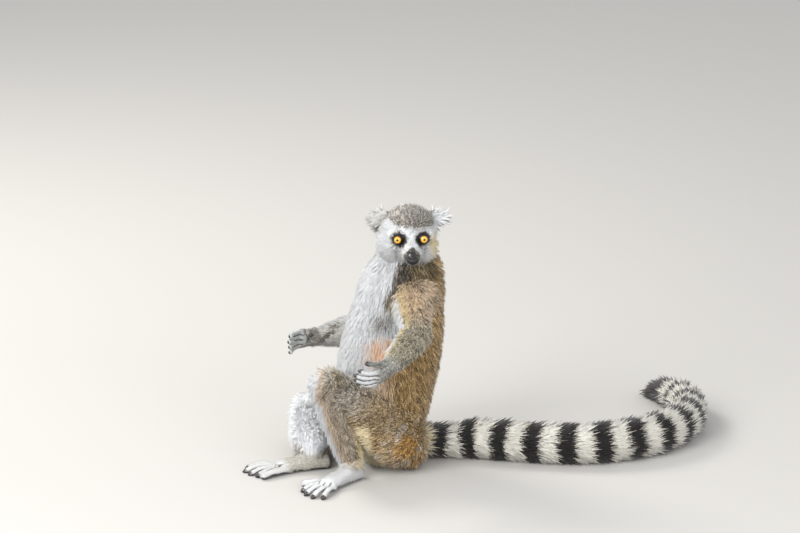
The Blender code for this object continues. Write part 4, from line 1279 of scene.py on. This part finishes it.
def eye_piece(name, side):
    """Eyeball: radius x (1 + 0.09 x bulge) along each heading; the bulge is the cornea's, near the gaze."""
    rows, around = 56, 72
    fall = np.concatenate([np.linspace(0.002, 0.9, 40), np.linspace(0.93, np.pi - 0.02, rows - 40)])[:, None]
    turn = 2 * np.pi * np.arange(around)[None] / around
    gaze = unit(vec(0.15 * side - 0.03, -1, 0.11))
    across = unit(np.cross(gaze, vec(0, 0, 1)))
    up = np.cross(across, gaze)
    radius = EYE_RADIUS * (1 + 0.09 * smooth(0.66, 0.0, fall))
    flat = radius * np.sin(fall)
    grid = (radius * np.cos(fall))[..., None] * gaze + (flat * np.cos(turn))[..., None] * across
    grid = grid + (flat * np.sin(turn))[..., None] * up
    points = from_head(grid.reshape(-1, 3) + EYE_CENTRE * vec(side, 1, 1))
    mesh = joined(name, [(points, grid_faces(rows, around))])

    def globe(corner):
        return np.stack([(corner % around) / around, fall[corner // around, 0] / np.pi], axis=1)

    set_uv(mesh, "globe", globe)
    return outward(name, mesh)


def nail_form(path, heading, upwards, radius, long):
    """A nail: a low arch in section, as wide as the digit's tip, that runs out from its back to a blunt point."""
    rows, around = 7, 10
    s = np.linspace(0, 1, rows)[:, None]
    turn = 2 * np.pi * np.arange(around)[None] / around
    upwards = unit(upwards - heading * (upwards @ heading))
    across = unit(np.cross(heading, upwards))
    half = radius * 0.8 * np.sqrt(np.clip(1 - (s * 0.97) ** 2.6, 0, 1)) * (0.75 + 0.25 * np.minimum(s * 4, 1))
    low = path[-1, :3] - heading * radius * 0.5 + upwards * radius * 0.86
    line = low + heading * s * long - upwards * (0.28 * long * s**2)
    ring = (half * np.cos(turn))[..., None] * across
    arch = 0.34 * radius * np.sin(turn) - 0.45 * half * np.cos(turn) ** 2
    points = (line[:, None] + ring + arch[..., None] * upwards).reshape(-1, 3)
    points[:, 2] = np.maximum(points[:, 2], NAIL_CLEARANCE)
    return points, grid_faces(rows, around)


def nails_piece():
    """A nail on every finger and toe."""
    sizes = (("_hand", FINGER_RADIUS, 5.2), ("_foot", TOE_RADIUS, 6.2))
    kinds = [(DIGITS[side + part], radius, long) for side in SIDES for part, radius, long in sizes]
    forms = [nail_form(*digit, radius, long) for digits, radius, long in kinds for digit in digits]
    return outward("nails", joined("nails", forms))


skin = fused_skin()
surface = (points_of(skin.data), rows_of(skin.data.vertices, "normal", 3).astype(float), triangles_of(skin.data))
skin_at = Places(*surface[:2])
skin_colour, skin_bare = skin_colours(skin_at)
opaque = np.ones((len(skin_colour), 1))
set_values(skin.data.color_attributes, "coat_colour", "FLOAT_COLOR", np.hstack([skin_colour, opaque]), "color")
set_values(skin.data.attributes, "bare", "FLOAT", skin_bare, "value")
skin.data.materials.append(underfur_material())

hairy = (1 - smooth(0.3, 0.7, skin_bare)) * (skin_at.points[:, 2] > BALD_BELOW)
front = smooth(-0.05, 0.05, skin_at.frontness)
face = smooth(48, 38, distance(skin_at.head, vec(0, -52, -10))) * (1 - skin_at.ear)
rest_of_head = (1 - skin_at.weight("head") * face) * (1 - 0.5 * inside_ear(skin_at))
# Each coat piece: the parts that it covers, where on them its locks stand, and how many there are.
COATS = {
    "coat_back": (["trunk"], 1 - front, 46000),
    "coat_belly": (["trunk"], front, 43000),
    "coat_head": (["head"], rest_of_head, 41000),
    "coat_face": (["head"], face, 38000),
    "coat_left_leg": (["left_thigh", "left_shank"], 1, 43000),
    "coat_right_leg": (["right_thigh", "right_shank"], 1, 38000),
    "coat_arms": (["left_upper_arm", "right_upper_arm", "left_forearm", "right_forearm"], 1, 42000),
    "coat_hands_feet": (["left_hand", "right_hand", "left_foot", "right_foot"], 1, 38000),
    "coat_tail": (["tail"], 1, 43000),
}
hair = guard_hair_material()
coats = []
for name, (names, where, count) in COATS.items():
    coat = coat_piece(name, surface, skin_at.weight(*names) * where * hairy, count, names)
    coat.data.materials.append(hair)
    coats.append(coat)

eyes = [eye_piece("left_eyeball", 1), eye_piece("right_eyeball", -1)]
amber = eye_material()
for eye in eyes:
    eye.data.materials.append(amber)
nails = nails_piece()
nails.data.materials.append(nail_material())

# ------------------------------------------------------------------ the frame

flesh = [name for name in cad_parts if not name.endswith("_eye")]
for piece in (skin, *coats, *eyes, nails):
    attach(piece, "root")
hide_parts(*flesh)
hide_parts("left_eye")
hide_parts("right_eye")

# ------------------------------------------------------------------ floor, light and camera

FLOOR = 4.0  # metres from the middle to each edge
DAYLIGHT, DAYLIGHT_STRENGTH = (0.97, 0.98, 1.0, 1), 0.82
corners = [(x * FLOOR, y * FLOOR, 0) for x, y in ((-1, -1), (1, -1), (1, 1), (-1, 1))]
floor_mesh = bpy.data.meshes.new("floor")
floor_mesh.from_pydata(corners, [], [(0, 1, 2, 3)])
floor = mesh_object("floor", floor_mesh)
floor.data.materials.append(floor_material())

world = bpy.data.worlds.new("studio")
world.use_nodes = True
world.node_tree.nodes["Background"].inputs["Color"].default_value = DAYLIGHT
world.node_tree.nodes["Background"].inputs["Strength"].default_value = DAYLIGHT_STRENGTH
bpy.context.scene.world = world

# Softboxes: azimuth, elevation, distance and width in metres, watts and colour.
SOFTBOXES = {
    "key": (27, 31, 2.2, 1.3, 37, (1.0, 0.995, 0.985)),
    "fill": (96, 18, 2.4, 1.6, 24, (0.99, 0.995, 1.0)),
    "rim": (292, 40, 2.2, 0.9, 30, (1.0, 0.97, 0.92)),
}
AIM = Vector((0.0, 0.03, 0.17))
VIEW_AZIMUTH, VIEW_ELEVATION, VIEW_DISTANCE = 65, 16, 7.0
SPAN_WIDTH = 1.024  # metres across the frame at the animal's distance
SEAT_DROP = 0.24896  # how far the seat's point lies below the frame's middle


def way_to(azimuth, elevation):
    """The way from the animal to something at this azimuth and elevation, in degrees."""
    a, e = math.radians(azimuth), math.radians(elevation)
    return Vector((math.sin(a) * math.cos(e), -math.cos(a) * math.cos(e), math.sin(e)))


def stand(name, made, place, way):
    """A lamp or camera at a place, turned to look back along the way that leads to it."""
    obj = bpy.data.objects.new(name, made)
    bpy.context.scene.collection.objects.link(obj)
    obj.location = place
    obj.rotation_euler = (-way).to_track_quat("-Z", "Y").to_euler()
    return obj


def softbox(name, azimuth, elevation, away, size, watts, colour):
    """A round diffused lamp that looks at the animal's middle."""
    light = bpy.data.lights.new(name, "AREA")
    light.shape = "DISK"
    light.size = size
    light.energy = watts
    light.color = colour
    way = way_to(azimuth, elevation)
    stand(name, light, AIM + way * away, way)


for name, lamp in SOFTBOXES.items():
    softbox(name, *lamp)

lens = bpy.data.cameras.new("camera")
lens.sensor_width = 36
lens.lens = lens.sensor_width * VIEW_DISTANCE / SPAN_WIDTH
lens.clip_end = 50
back, up = way_to(VIEW_AZIMUTH, VIEW_ELEVATION), way_to(VIEW_AZIMUTH, VIEW_ELEVATION + 90)
bpy.context.scene.camera = stand("camera", lens, up * SEAT_DROP + back * VIEW_DISTANCE, back)
bpy.context.scene.view_settings.view_transform = "Standard"
